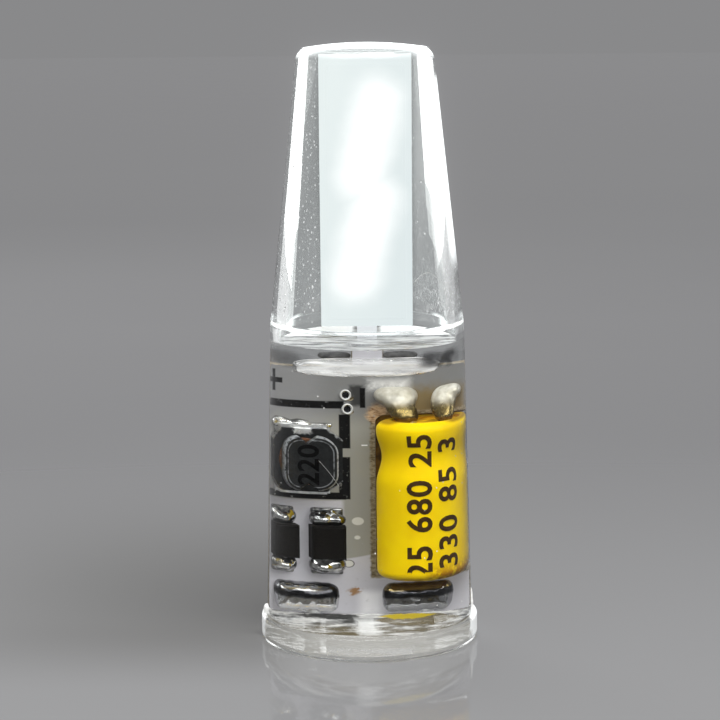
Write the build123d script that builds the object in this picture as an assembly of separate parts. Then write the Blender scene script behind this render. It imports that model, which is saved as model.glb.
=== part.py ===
from build123d import *

import os
from math import hypot, radians, tan

# Bi-pin LED bulb. Origin at the middle of the foot's underside, +Z up along the bulb, the lit side
# towards -Y. Sizes are in millimetres.

# Contact pins
pin_radius = 0.35
pin_pitch = 4.0
pin_length = 7.5
pin_tail_radius = 0.28
pin_tip_round = 0.15
pin_board_gap = 0.05

# Solder joints over the pins
pin_joint_width = 2.4
pin_joint_height = 1.7
pin_joint_cover = 0.15
pin_joint_shift = -0.3
pin_joint_round = 0.35
pin_end_cover = 0.3

# Circuit board
board_width = 7.9
board_thickness = 0.8
board_bottom_z = 1.25
board_corner = 0.3
board_head_margin = 1.0
joint_margin = 0.1
row_gap = 0.35
via_radius = 0.14
via_gap = 0.3
via_rise = 0.65
via_pitch = 0.7

# Tongue that carries the lit plate
tongue_width = 1.0
tongue_overlap = 2.0
tongue_root_round = 0.2

# Capacitor notch
notch_margin = 0.3
notch_end_clearance = 0.1
notch_side_clearance = 0.05
notch_corner = 0.4

# Electrolytic capacitor
can_radius = 1.97
can_length = 7.84
can_edge = 0.45
sleeve_wall = 0.08
sleeve_lap = 0.35
groove_depth = 0.2
groove_half_width = 0.8
groove_from_top = 1.75
bung_radius = 1.45
bung_depth = 1.0
bung_recess = 0.12
capacitor_x = 2.34
capacitor_y = -0.8
capacitor_lead_radius = 0.225
capacitor_lead_pitch = 1.5
capacitor_lead_rise = 0.35
capacitor_lead_bend = 0.3
capacitor_joint_pitch = 2.1
capacitor_joint_shift = -0.25
capacitor_joint_width = 1.5
capacitor_joint_height = 1.3
capacitor_joint_depth = 0.75
capacitor_joint_round = 0.32
lead_end_cover = 0.35

# Wound inductor
inductor_width = 3.0
inductor_length = 3.5
inductor_height = 2.0
inductor_foot_height = 0.7
inductor_foot_chamfer = 0.55
inductor_head_height = 0.6
inductor_head_side_margin = 0.26
inductor_head_end_margin = 0.38
inductor_head_corner = 0.85
inductor_head_edge = 0.08
inductor_head_notch = 0.35
inductor_head_notch_width = 0.9
inductor_hub_radius = 0.7
inductor_winding_radius = 1.16
inductor_edge_margin = 0.05
inductor_gap = 0.75
terminal_thickness = 0.15
terminal_width = 2.2
terminal_reach = 0.9
terminal_rise = 0.5

# Bridge diodes and the freewheel diode
diode_length = 1.7
diode_width = 1.25
diode_height = 0.85
diode_span = 2.6
diode_lead_width = 0.35
diode_gap = 0.5
diode_edge_margin = 0.15
freewheel_length = 2.2
freewheel_width = 1.4
freewheel_span = 3.1
package_standoff = 0.05
package_edge = 0.08
lead_thickness = 0.12
lead_step = 0.12

# Driver chip
chip_length = 2.9
chip_width = 1.6
chip_height = 1.1
chip_span = 2.7
chip_lead_width = 0.35
chip_lead_pitch = 0.95
chip_leads_a_side = 3

# Chip resistor and ceramic capacitor
ceramic_length = 2.0
ceramic_width = 1.25
resistor_height = 0.5
ceramic_capacitor_height = 0.8
ceramic_end = 0.35
ceramic_gap = 0.55

# Solder fillets at the small terminals
fillet_width = 1.1
fillet_reach = 0.4
fillet_lap = 0.25
fillet_height = 0.22
fillet_round = 0.08

# Lit plate
plate_width = 4.6
plate_thickness = 0.5
plate_length = 13.45
plate_edge = 0.06
coat_margin = 0.35
coat_height = 0.25
coat_edge = 0.12
led_length = 0.55
led_width = 0.28
led_height = 0.12
leds_a_string = 5
led_strings = 2
string_end_margin = 1.3
string_side_margin = 1.1
string_gap = 0.9
plate_joint_leg = 0.45
plate_joint_margin = 0.25

# Resin
resin_recess = 0.2
resin_cover = 1.3
meniscus_rise = 0.06

# Clear shell
bore_clearance = 0.06
bore_draft = 1.45
shell_wall = 0.4
shoulder_step = 0.3
shoulder_rise = 0.8
shoulder_height = 0.07
cavity_draft = 4.8
plate_gap = 0.62
plate_side_clearance = 0.55
plate_top_clearance = 0.25
cap_side_wall = 0.45
top_wall = 0.45
crown_rise = 0.3
crown_round = 0.4
cavity_round = 0.4
shoulder_round = 0.05
flange_step = 0.27
flange_height = 1.2
flange_round = 0.12

# Places worked out from the sizes, from the foot upwards
board_front_y = pin_radius + pin_board_gap
board_rear_y = board_front_y + board_thickness
board_side = board_width / 2

pin_joint_z = board_bottom_z + joint_margin
pin_joint_top = pin_joint_z + pin_joint_height
pin_joint_depth = pin_board_gap + 2 * pin_radius + pin_joint_cover

diode_z = pin_joint_top + row_gap + fillet_reach + diode_span / 2
diode_row_top = diode_z + diode_span / 2 + fillet_reach
diode_left_x = -board_side + diode_edge_margin + diode_width / 2
diode_right_x = diode_left_x + diode_width + diode_gap

inductor_z = diode_row_top + inductor_gap + inductor_length / 2
inductor_top = inductor_z + inductor_length / 2
inductor_x = -board_side + inductor_edge_margin + inductor_width / 2

sleeve_radius = can_radius + sleeve_wall
notch_bottom = pin_joint_top + notch_margin
can_bottom = notch_bottom + notch_end_clearance + sleeve_wall
can_top = can_bottom + can_length
notch_top = can_top + sleeve_wall + notch_end_clearance
notch_left = capacitor_x - sleeve_radius - notch_side_clearance

capacitor_joint_z = notch_top + joint_margin
capacitor_joint_top = capacitor_joint_z + capacitor_joint_height
capacitor_joint_x = capacitor_x + capacitor_joint_shift

board_top = max(inductor_top, capacitor_joint_top) + board_head_margin
resin_level = board_top + resin_cover
plate_bottom = resin_level + plate_gap
plate_top = plate_bottom + plate_length
plate_front_y = board_front_y - plate_thickness
tongue_top = plate_bottom + tongue_overlap
ceiling_z = plate_top + plate_top_clearance
crown_z = ceiling_z + top_wall

shoulder_z = resin_level + shoulder_rise
shoulder_top = shoulder_z + shoulder_height
coat_depth = max(-plate_front_y, board_front_y) + coat_height
cavity_top_radius = hypot(plate_width / 2, coat_depth) + plate_side_clearance
cavity_radius = cavity_top_radius + (ceiling_z - shoulder_top) * tan(radians(cavity_draft))


def mouth_radius(reach, z):
    """Bore radius at the foot that leaves the clearance round a piece with this reach at height z."""
    return reach + bore_clearance + z * tan(radians(bore_draft))


capacitor_reach = hypot(capacitor_x, capacitor_y) + sleeve_radius
inductor_reach = hypot(inductor_x - inductor_width / 2, board_front_y - inductor_height)
board_reach = hypot(board_side, board_rear_y)
joint_reach = hypot(
    capacitor_joint_x + (capacitor_joint_pitch + capacitor_joint_width) / 2,
    max(board_rear_y, capacitor_joint_depth - board_front_y),
)
bore_mouth = max(
    mouth_radius(capacitor_reach, can_top),
    mouth_radius(inductor_reach, inductor_top),
    mouth_radius(board_reach, board_top),
    mouth_radius(joint_reach, capacitor_joint_top),
    mouth_radius(cavity_radius + shoulder_step, shoulder_z),
)


def bore_radius(z):
    """Radius of the drafted bore at height z."""
    return bore_mouth - z * tan(radians(bore_draft))


# Faces of the board that pieces sit on: local x across, local y up the bulb, local z off the board
front = Plane(origin=(0, board_front_y, 0), x_dir=(1, 0, 0), z_dir=(0, -1, 0))
rear = Plane(origin=(0, board_rear_y, 0), x_dir=(-1, 0, 0), z_dir=(0, 1, 0))


def block(x0, x1, y0, y1, z0, z1):
    """A box between two corners."""
    return Pos((x0 + x1) / 2, (y0 + y1) / 2, (z0 + z1) / 2) * Box(x1 - x0, y1 - y0, z1 - z0)


def group(pieces):
    """Separate solids kept together in one node."""
    return Compound(children=[Solid(piece.solid().wrapped) for piece in pieces])


def round_corners(face, corners):
    """Rounds corners of a flat outline, each given as (x, y, radius)."""
    for x, y, radius in corners:
        face = fillet(face.vertices().sort_by_distance((x, y, 0))[0], radius)
    return face


def turned(face):
    """A solid turned about the bulb's axis from an outline in (radius, height)."""
    return revolve(Plane.XZ * face, Axis.Z)


def solder_pillow(width, height, depth, edge):
    """A rounded lump on the board's face, its lower edge at y = 0, flat against the board."""
    lump = block(-width / 2, width / 2, 0, height, 0, depth)
    upright = lump.edges().filter_by(Axis.Z)
    lump = fillet(upright, edge)
    return fillet(lump.faces().sort_by(Axis.Z)[-1].edges(), edge)


def clear_shell():
    """The one-piece clear moulding: tapered cap, drafted body, shoulder inside and foot flange."""
    body_foot = bore_radius(flange_height) + shell_wall
    flange_radius = body_foot + flange_step
    kink = bore_radius(shoulder_z) + shell_wall
    crown_edge = cavity_top_radius + cap_side_wall
    crown_edge_z = crown_z - crown_rise
    wall = Polyline(
        (0, ceiling_z),
        (cavity_top_radius, ceiling_z),
        (cavity_radius, shoulder_top),
        (bore_radius(shoulder_z), shoulder_z),
        (bore_mouth, 0),
        (flange_radius, 0),
        (flange_radius, flange_height),
        (body_foot, flange_height),
        (kink, shoulder_z),
        (crown_edge, crown_edge_z),
    )
    crown = TangentArc((0, crown_z), (crown_edge, crown_edge_z), tangent=(1, 0))
    outline = make_face([*wall.edges(), crown, Line((0, crown_z), (0, ceiling_z))])
    corners = [
        (cavity_top_radius, ceiling_z, cavity_round),
        (cavity_radius, shoulder_top, shoulder_round),
        (bore_radius(shoulder_z), shoulder_z, shoulder_round),
        (flange_radius, 0, flange_round),
        (flange_radius, flange_height, flange_round),
        (body_foot, flange_height, flange_round),
        (crown_edge, crown_edge_z, crown_round),
    ]
    return turned(round_corners(outline, corners))


def resin_blank():
    """The potting resin before the pieces in it are taken out: a drafted plug with a hollow top."""
    rim_z = resin_level + meniscus_rise
    sides = Polyline(
        (0, resin_level),
        (0, resin_recess),
        (bore_radius(resin_recess), resin_recess),
        (bore_radius(rim_z), rim_z),
    )
    meniscus = TangentArc((0, resin_level), (bore_radius(rim_z), rim_z), tangent=(1, 0))
    return turned(make_face([*sides.edges(), meniscus]))


def circuit_board():
    """The board: a plate with a routed notch for the capacitor, a tongue and two open vias."""
    half_tongue = tongue_width / 2
    outline = make_face(Polyline(
        (-board_side, board_bottom_z),
        (board_side, board_bottom_z),
        (board_side, notch_bottom),
        (notch_left, notch_bottom),
        (notch_left, notch_top),
        (board_side, notch_top),
        (board_side, board_top),
        (half_tongue, board_top),
        (half_tongue, tongue_top),
        (-half_tongue, tongue_top),
        (-half_tongue, board_top),
        (-board_side, board_top),
        close=True,
    ))
    outline = round_corners(outline, [
        (-board_side, board_bottom_z, board_corner),
        (board_side, board_bottom_z, board_corner),
        (notch_left, notch_bottom, notch_corner),
        (notch_left, notch_top, notch_corner),
        (board_side, board_top, board_corner),
        (-board_side, board_top, board_corner),
        (half_tongue, board_top, tongue_root_round),
        (-half_tongue, board_top, tongue_root_round),
    ])
    via_x = inductor_x + inductor_width / 2 + via_gap
    for index in range(2):
        outline -= Pos(via_x, inductor_top + via_rise + index * via_pitch) * Circle(via_radius)
    return extrude(front * outline, -board_thickness)


def contact_pin(side):
    """A round contact pin: its rounded tip, its shank up to the resin and its thinner tail in the joint."""
    on_end = (Align.CENTER, Align.CENTER, Align.MIN)
    shank = Cylinder(pin_radius, pin_length + resin_recess, align=on_end)
    shank = fillet(shank.edges().sort_by(Axis.Z)[0], pin_tip_round)
    tail = Cylinder(pin_tail_radius, pin_joint_top - pin_end_cover - resin_recess, align=on_end)
    pin = shank + Pos(0, 0, pin_length + resin_recess) * tail
    return Pos(side * pin_pitch / 2, 0, -pin_length) * pin


def pin_joint(side):
    """The wide solder joint that holds a pin to the front of the board."""
    lump = solder_pillow(pin_joint_width, pin_joint_height, pin_joint_depth, pin_joint_round)
    x = side * pin_pitch / 2 + pin_joint_shift
    return front * Pos(x, pin_joint_z, 0) * lump - contact_pin(side)


def can_form(radius, bottom, top, edge):
    """The outer form of a can: rounded ends and a rolled groove under the open end."""
    groove_z = can_top - groove_from_top
    side = Polyline((radius, groove_z - groove_half_width), (radius, bottom), (0, bottom), (0, top),
                    (radius, top), (radius, groove_z + groove_half_width))
    groove = ThreePointArc(
        (radius, groove_z - groove_half_width),
        (radius - groove_depth, groove_z),
        (radius, groove_z + groove_half_width),
    )
    outline = make_face([*side.edges(), groove])
    return turned(round_corners(outline, [(radius, bottom, edge), (radius, top, edge)]))


def upright_disc(radius, bottom, top):
    """A disc on the capacitor's own axis."""
    return Pos(0, 0, (bottom + top) / 2) * Cylinder(radius, top - bottom)


def capacitor_lead(side):
    """A wire lead, up out of the bung and back to its solder joint on the board."""
    start = Vector(capacitor_x + side * capacitor_lead_pitch / 2, capacitor_y, can_top - bung_depth)
    bend = Vector(start.X, start.Y, can_top + capacitor_lead_rise)
    end = Vector(
        capacitor_joint_x + side * capacitor_joint_pitch / 2,
        board_front_y - capacitor_joint_depth / 2,
        capacitor_joint_top - lead_end_cover,
    )
    path = FilletPolyline(start, bend, end, radius=capacitor_lead_bend)
    return sweep(Plane(origin=start, z_dir=(0, 0, 1)) * Circle(capacitor_lead_radius), path=path)


def capacitor():
    """The can, its sleeve, its bung and its two leads, as a dictionary of pieces."""
    place = Pos(capacitor_x, capacitor_y, 0)
    form = can_form(can_radius, can_bottom, can_top, can_edge)
    pocket = upright_disc(bung_radius, can_top - bung_depth, can_top)
    skin = can_form(sleeve_radius, can_bottom - sleeve_wall, can_top + sleeve_wall, can_edge + sleeve_wall)
    skin -= form
    for z in (can_bottom, can_top):
        skin -= upright_disc(can_radius - sleeve_lap, z - sleeve_wall, z + sleeve_wall)
    leads = {side: capacitor_lead(side) for side in (-1, 1)}
    bung = upright_disc(bung_radius, can_top - bung_depth, can_top - bung_recess)
    return {
        "capacitor_can": place * (form - pocket),
        "capacitor_sleeve": place * skin,
        "capacitor_bung": place * bung - [leads[-1], leads[1]],
        "capacitor_lead_left": leads[-1],
        "capacitor_lead_right": leads[1],
    }


def capacitor_joint(side, lead):
    """The solder joint at the end of a capacitor lead."""
    lump = solder_pillow(
        capacitor_joint_width, capacitor_joint_height, capacitor_joint_depth, capacitor_joint_round)
    x = capacitor_joint_x + side * capacitor_joint_pitch / 2
    return front * Pos(x, capacitor_joint_z, 0) * lump - lead


def inductor():
    """The drum core, its winding and its two foot terminals, as a dictionary of pieces."""
    foot_length = inductor_length - 2 * terminal_thickness
    foot = extrude(Rectangle(inductor_width, foot_length), inductor_foot_height - terminal_thickness)
    foot = Pos(0, 0, terminal_thickness) * chamfer(foot.edges().filter_by(Axis.Z), inductor_foot_chamfer)
    head_z = inductor_height - inductor_head_height
    head_width = inductor_width - 2 * inductor_head_side_margin
    head_length = inductor_length - 2 * inductor_head_end_margin
    cut = make_face(Polyline(
        (0, head_length / 2 - inductor_head_notch),
        (inductor_head_notch_width / 2, head_length / 2),
        (-inductor_head_notch_width / 2, head_length / 2),
        close=True,
    ))
    head = RectangleRounded(head_width, head_length, inductor_head_corner) - cut - mirror(cut, Plane.XZ)
    head = Pos(0, 0, head_z) * extrude(head, inductor_head_height)
    head = chamfer(head.faces().sort_by(Axis.Z)[-1].edges(), inductor_head_edge)
    winding_height = head_z - inductor_foot_height
    hub = Pos(0, 0, inductor_foot_height) * extrude(Circle(inductor_hub_radius), winding_height)
    ring = Circle(inductor_winding_radius) - Circle(inductor_hub_radius)
    winding = Pos(0, 0, inductor_foot_height) * extrude(ring, winding_height)
    half = inductor_length / 2
    flat_width = inductor_width - 2 * inductor_foot_chamfer
    side = terminal_width / 2
    strip = block(-side, side, half - terminal_reach, half, 0, terminal_thickness)
    rise = block(-flat_width / 2, flat_width / 2, half - terminal_thickness, half, 0, terminal_rise)
    terminal = strip + rise
    place = front * Pos(inductor_x, inductor_z, 0)
    return {
        "inductor_core": place * (foot + hub + head),
        "inductor_winding": place * winding,
        "inductor_terminals": group([place * terminal, place * mirror(terminal, Plane.XZ)]),
    }


def package_body(width, length, height):
    """A moulded package body, a little off the board, its upper edges eased."""
    body = block(-width / 2, width / 2, -length / 2, length / 2, package_standoff, height)
    return chamfer(body.faces().sort_by(Axis.Z)[-1].edges(), package_edge)


def package_lead(body_end, span_end, height, width):
    """A bent lead, along +y from the body's end face at mid height down to its foot."""
    middle = height / 2
    bend = body_end + lead_step
    section = make_face(Polyline(
        (body_end, middle),
        (bend + lead_thickness, middle),
        (bend + lead_thickness, lead_thickness),
        (span_end, lead_thickness),
        (span_end, 0),
        (bend, 0),
        (bend, middle - lead_thickness),
        (body_end, middle - lead_thickness),
        close=True,
    ))
    return extrude(Plane.YZ * section, width / 2, both=True)


def solder_fillet(span_end, lead, width):
    """A small solder fillet over the end of a lead's foot."""
    lump = solder_pillow(width, fillet_lap + fillet_reach, fillet_height, fillet_round)
    return Pos(0, span_end - fillet_lap, 0) * lump - lead


def two_lead_package(width, length, height, span, lead_width):
    """A diode's body, its two leads and its two solder fillets, standing along y."""
    body = package_body(width, length, height)
    lead = package_lead(length / 2, span / 2, height, lead_width)
    joint = solder_fillet(span / 2, lead, fillet_width)
    return body, [lead, mirror(lead, Plane.XZ)], [joint, mirror(joint, Plane.XZ)]


def driver_chip():
    """The driver chip's body, its leads on both sides and their solder fillets."""
    body = package_body(chip_width, chip_length, chip_height)
    lead = package_lead(chip_width / 2, chip_span / 2, chip_height, chip_lead_width)
    joint = solder_fillet(chip_span / 2, lead, chip_lead_width + 2 * fillet_round)
    leads = []
    joints = []
    for turn in (90, -90):
        for index in range(chip_leads_a_side):
            y = (index - (chip_leads_a_side - 1) / 2) * chip_lead_pitch
            place = Pos(0, y, 0) * Rot(0, 0, turn)
            leads.append(place * lead)
            joints.append(place * joint)
    return body, leads, joints


def ceramic_chip(height):
    """A ceramic chip part's body and its two metal ends, standing along y."""
    half = ceramic_length / 2
    side = ceramic_width / 2
    body = block(-side, side, -half + ceramic_end, half - ceramic_end, 0, height)
    ends = [block(-side, side, half - ceramic_end, half, 0, height)]
    ends.append(block(-side, side, -half, -half + ceramic_end, 0, height))
    return body, ends


def small_parts():
    """The diodes, the chips and their solder, as a dictionary of pieces."""
    pieces = {}
    solder = []
    column_x = (notch_left - board_side) / 2
    arm_x = (notch_left + board_side) / 2
    arm_z = (notch_top + board_top) / 2
    freewheel_z = inductor_top + (board_top - inductor_top) / 2

    def add(name, place, body, leads, joints):
        pieces[name] = place * body
        pieces[f"{name}_leads"] = group([place * lead for lead in leads])
        solder.extend(place * joint for joint in joints)

    diode = two_lead_package(diode_width, diode_length, diode_height, diode_span, diode_lead_width)
    for face_name, face, sign in (("front", front, 1), ("rear", rear, -1)):
        for side_name, x in (("left", diode_left_x), ("right", diode_right_x)):
            add(f"{face_name}_{side_name}_diode", face * Pos(sign * x, diode_z, 0), *diode)

    add("driver_chip", rear * Pos(-column_x, inductor_z, 0), *driver_chip())

    freewheel = two_lead_package(
        freewheel_width, freewheel_length, diode_height, freewheel_span, diode_lead_width)
    add("freewheel_diode", rear * Pos(-column_x, freewheel_z, 0) * Rot(0, 0, 90), *freewheel)

    step = (ceramic_width + ceramic_gap) / 2
    chips = (("sense_resistor", -step, resistor_height),
             ("ceramic_capacitor", step, ceramic_capacitor_height))
    for name, shift, height in chips:
        body, ends = ceramic_chip(height)
        place = rear * Pos(-arm_x - shift, arm_z, 0)
        pieces[name] = place * body
        pieces[f"{name}_ends"] = group([place * end for end in ends])
    pieces["board_solder"] = group(solder)
    return pieces


def lit_plate():
    """The translucent plate, its chips, its phosphor coats and the solder that joins it to the tongue."""
    half = plate_width / 2
    plate = block(-half, half, plate_front_y, board_front_y, plate_bottom, plate_top)
    plate = fillet(plate.edges().filter_by(Axis.Y), plate_edge)
    coat_width = plate_width - 2 * coat_margin
    coat_length = plate_length - 2 * coat_margin
    coat = solder_pillow(coat_width, coat_length, coat_height, coat_edge)
    face = Plane(origin=(0, plate_front_y, 0), x_dir=(1, 0, 0), z_dir=(0, -1, 0))
    string_length = (coat_length - 2 * string_end_margin - (led_strings - 1) * string_gap) / led_strings
    string_sway = coat_width - 2 * string_side_margin
    led = extrude(Rectangle(led_width, led_length), led_height)
    leds = []
    for string in range(led_strings):
        top = plate_top - coat_margin - string_end_margin - string * (string_length + string_gap)
        for index in range(leds_a_string):
            share = index / (leds_a_string - 1)
            leds.append(face * Pos(string_sway * (0.5 - share), top - share * string_length, 0) * led)
    front_coat = face * Pos(0, plate_bottom + coat_margin, 0) * coat - leds
    rear_bottom = tongue_top + coat_margin
    rear_length = plate_top - coat_margin - rear_bottom
    rear_face = Plane(origin=(0, board_front_y, 0), x_dir=(-1, 0, 0), z_dir=(0, 1, 0))
    rear_coat = solder_pillow(coat_width, rear_length, coat_height, coat_edge)
    rear_coat = rear_face * Pos(0, rear_bottom, 0) * rear_coat
    corner = make_face(Polyline((0, 0), (plate_joint_leg, 0), (0, plate_joint_leg), close=True))
    joint = extrude(corner, tongue_overlap - 2 * plate_joint_margin)
    joint = Pos(tongue_width / 2, board_front_y, plate_bottom + plate_joint_margin) * joint
    return {
        "led_plate": plate,
        "led_chips": group(leds),
        "phosphor_front": front_coat,
        "phosphor_rear": rear_coat,
        "led_solder_right": joint,
        "led_solder_left": mirror(joint, Plane.YZ),
    }


def main():
    """Builds every piece and writes one file for each node."""
    potted = {"circuit_board": circuit_board()}
    potted.update(capacitor())
    potted.update(inductor())
    potted.update(small_parts())
    for side, name in ((-1, "left"), (1, "right")):
        potted[f"contact_pin_{name}"] = contact_pin(side)
        potted[f"pin_solder_{name}"] = pin_joint(side)
        lead = potted[f"capacitor_lead_{name}"]
        potted[f"capacitor_solder_{name}"] = capacitor_joint(side, lead)
    resin = resin_blank() - list(potted.values())
    nodes = {"clear_shell": clear_shell(), "resin_fill": resin, **potted, **lit_plate()}
    os.makedirs("parts", exist_ok=True)
    for name, piece in nodes.items():
        export_step(piece, f"parts/{name}.step")


main()
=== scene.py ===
"""Looks of the bi-pin LED bulb: finishes, sculpted detail and a small studio, in the part's own frame."""

import functools
import logging
import math
from collections.abc import Callable, Iterable, Sequence
from dataclasses import dataclass, field
from enum import Enum
from typing import Any, Protocol, Union

import bmesh
import bpy
import numpy as np
from mathutils import Euler, Matrix, Vector, noise


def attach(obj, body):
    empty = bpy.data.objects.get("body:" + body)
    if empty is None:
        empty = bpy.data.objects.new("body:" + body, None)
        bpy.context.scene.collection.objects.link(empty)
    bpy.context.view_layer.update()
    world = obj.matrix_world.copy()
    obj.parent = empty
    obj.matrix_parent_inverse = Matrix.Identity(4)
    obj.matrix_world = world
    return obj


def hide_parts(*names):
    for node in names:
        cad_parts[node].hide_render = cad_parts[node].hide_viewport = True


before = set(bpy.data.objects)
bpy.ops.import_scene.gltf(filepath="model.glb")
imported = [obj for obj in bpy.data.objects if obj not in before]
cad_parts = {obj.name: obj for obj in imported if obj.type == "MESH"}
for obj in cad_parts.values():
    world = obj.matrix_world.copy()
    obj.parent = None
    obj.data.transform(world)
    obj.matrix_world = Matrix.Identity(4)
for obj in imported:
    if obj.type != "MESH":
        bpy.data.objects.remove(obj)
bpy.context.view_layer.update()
LOG = logging.getLogger("bulb")
MM = 0.001
CLEAR_IOR = 1.46
SMOOTH = 180.0

Value = Union["Shade", float]
Colour = tuple[float, float, float]
Place = tuple[float, float, float]
Point = tuple[float, float]


class Slot(Enum):
    """Slot names for the pieces that are made here."""

    CLEAR_PLASTIC = "clear_plastic"
    CLEAR_RESIN = "clear_resin"
    SOLDER = "solder"
    FERRITE = "ferrite"
    ENAMELLED_WIRE = "enamelled_wire"
    YELLOW_SLEEVE = "yellow_sleeve"


def worked(operation: str, swapped: bool = False) -> Callable[..., "Shade"]:
    """Makes a method that works one sum on a shade.

    Args:
        operation: The sum's name.
        swapped: Whether the other value comes first.

    Returns:
        The method.
    """

    def work(shade: "Shade", *others: Value) -> "Shade":
        """The sum of the shade and any other value."""
        return shade.graph.sum(operation, *((*others, shade) if swapped else (shade, *others)))

    return work


class Shade:
    """A node socket that takes part in plain Python sums."""

    __add__ = __radd__ = worked("ADD")
    __sub__ = worked("SUBTRACT")
    __rsub__ = worked("SUBTRACT", swapped=True)
    __mul__ = __rmul__ = worked("MULTIPLY")
    __truediv__ = worked("DIVIDE")
    __pow__ = worked("POWER")
    __abs__ = worked("ABSOLUTE")
    at_least = worked("MAXIMUM")
    at_most = worked("MINIMUM")
    over = worked("GREATER_THAN")

    def __init__(self, graph: "Graph", socket: bpy.types.NodeSocket) -> None:
        """Keeps the socket and the graph that it belongs to."""
        self.graph = graph
        self.socket = socket

    def ramp(self, low: float, high: float) -> "Shade":
        """Runs smoothly from zero at low to one at high, which may lie below low.

        Args:
            low: The value that gives zero.
            high: The value that gives one.

        Returns:
            The eased value.
        """
        return self.graph.node(
            "ShaderNodeMapRange",
            {"interpolation_type": "SMOOTHSTEP"},
            {"Value": self, "From Min": low, "From Max": high},
        )


class Graph:
    """One material's nodes, written as expressions over a point on the piece, in millimetres."""

    def __init__(self, name: str) -> None:
        """Makes an empty material and finds the point.

        Args:
            name: The finish's name.
        """
        self.material = bpy.data.materials.new(name)
        self.material.use_nodes = True
        self.tree = self.material.node_tree
        self.tree.nodes.clear()
        inputs = {"Vector": self.node("ShaderNodeTexCoord", output="Object"), "Scale": 1.0 / MM}
        self.place = self.node("ShaderNodeVectorMath", {"operation": "SCALE"}, inputs)

    @functools.cached_property
    def axes(self) -> tuple[Shade, Shade, Shade]:
        """The point's three numbers."""
        return self.parts(self.place)

    def feed(self, socket: bpy.types.NodeSocket, value: Any) -> None:
        """Links a shade to a socket, or sets the socket to a plain value.

        Args:
            socket: The socket.
            value: The shade or the plain value.
        """
        if isinstance(value, Shade):
            self.tree.links.new(value.socket, socket)
        else:
            socket.default_value = value

    def node(
        self,
        kind: str,
        settings: dict[str, Any] | None = None,
        inputs: dict[str | int, Any] | None = None,
        output: str | int = 0,
    ) -> Shade:
        """Adds a node.

        Args:
            kind: The node's type.
            settings: What is set on the node before its sockets are fed.
            inputs: Values or links by socket.
            output: The socket that is read.

        Returns:
            The output socket.
        """
        made = self.tree.nodes.new(kind)
        for key, value in (settings or {}).items():
            setattr(made, key, value)
        for key, value in (inputs or {}).items():
            self.feed(made.inputs[key], value)
        return Shade(self, made.outputs[output])

    def sum(self, operation: str, *values: Value) -> Shade:
        """One Math node over its values."""
        return self.node("ShaderNodeMath", {"operation": operation}, dict(enumerate(values)))

    def parts(self, vector: Shade) -> tuple[Shade, Shade, Shade]:
        """The three numbers of a vector."""
        outputs = self.node("ShaderNodeSeparateXYZ", None, {0: vector}).socket.node.outputs
        return Shade(self, outputs[0]), Shade(self, outputs[1]), Shade(self, outputs[2])

    def stretch(self, by: Colour) -> Shade:
        """The point scaled along each axis."""
        return self.node("ShaderNodeVectorMath", {"operation": "MULTIPLY"}, {0: self.place, 1: by})

    def slant(self) -> Shade:
        """How far the surface turns away from the eye, for gloss and glass."""
        return self.node("ShaderNodeLayerWeight", None, {"Blend": 0.5}, "Facing")

    def grain(self, scale: float, detail: float = 2.0, rough: float = 0.5, at: Shade | None = None) -> Shade:
        """Soft random variation from 0 to 1, about one half on average.

        Args:
            scale: Features per millimetre.
            detail: Octaves of finer variation.
            rough: How strong the finer octaves are.
            at: Where it is read, if not at the point.

        Returns:
            The variation.
        """
        inputs = {"Vector": at or self.place, "Scale": scale, "Detail": detail, "Roughness": rough}
        return self.node("ShaderNodeTexNoise", None, inputs)

    def specks(self, scale: float, share: float, size: float, at: Shade | None = None) -> Shade:
        """Scattered dots.

        Args:
            scale: Cells per millimetre.
            share: The share of the cells that hold a dot.
            size: A dot's radius in cells.
            at: Where they are read, if not at the point.

        Returns:
            One inside the dots, zero elsewhere.
        """
        near = self.node("ShaderNodeTexVoronoi", None, {"Vector": at or self.place, "Scale": scale})
        chance = self.node("ShaderNodeSeparateColor", None, {0: Shade(self, near.socket.node.outputs[1])})
        return near.ramp(size, size * 0.55) * chance.over(1.0 - share)

    @staticmethod
    def solid(colour: Any) -> Any:
        """A colour with its fourth number, where it isn't a shade."""
        return colour if isinstance(colour, Shade) else (*colour, 1.0)

    def blend(self, factor: Value, first: Any, second: Any) -> Shade:
        """Mixes two colours or shades, as much of the second as the factor says."""
        sides = {0: factor, 6: self.solid(first), 7: self.solid(second)}
        return self.node("ShaderNodeMix", {"data_type": "RGBA"}, sides, 2)

    def layers(self, base: Any, *coats: tuple[Value, Any]) -> Any:
        """Lays colours over a first one, each through its own mask.

        Args:
            base: The first colour.
            coats: Each mask and the colour that it lets through.

        Returns:
            The colour on top.
        """
        for mask, colour in coats:
            base = self.blend(mask, base, colour)
        return base

    def bump(self, height: Shade, depth: float, strength: float = 0.6) -> Shade:
        """A surface direction from a height of 0 to 1, its depth in millimetres."""
        inputs = {"Height": height, "Distance": depth * MM, "Strength": strength}
        return self.node("ShaderNodeBump", None, inputs)

    def surface(self, **inputs: Any) -> Shade:
        """Makes a principled surface.

        Args:
            inputs: Its sockets by name, with underscores for spaces.

        Returns:
            The surface.
        """
        named = {key.replace("_", " "): value for key, value in inputs.items()}
        for key in ("Base Color", "Emission Color"):
            if key in named:
                named[key] = self.solid(named[key])
        return self.node("ShaderNodeBsdfPrincipled", None, named)

    def glass(self, tint: Colour, normal: Shade, **others: Any) -> Shade:
        """A clear surface."""
        inputs = {"Roughness": 0.0, "IOR": CLEAR_IOR, "Transmission_Weight": 1.0, **others}
        return self.surface(Base_Color=tint, Normal=normal, **inputs)

    def glow(self, colour: Colour, roughness: float, strength: float) -> Shade:
        """A surface that sheds its own colour."""
        lit = {"Emission_Color": colour, "Emission_Strength": strength}
        return self.surface(Base_Color=colour, Roughness=roughness, **lit)

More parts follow.
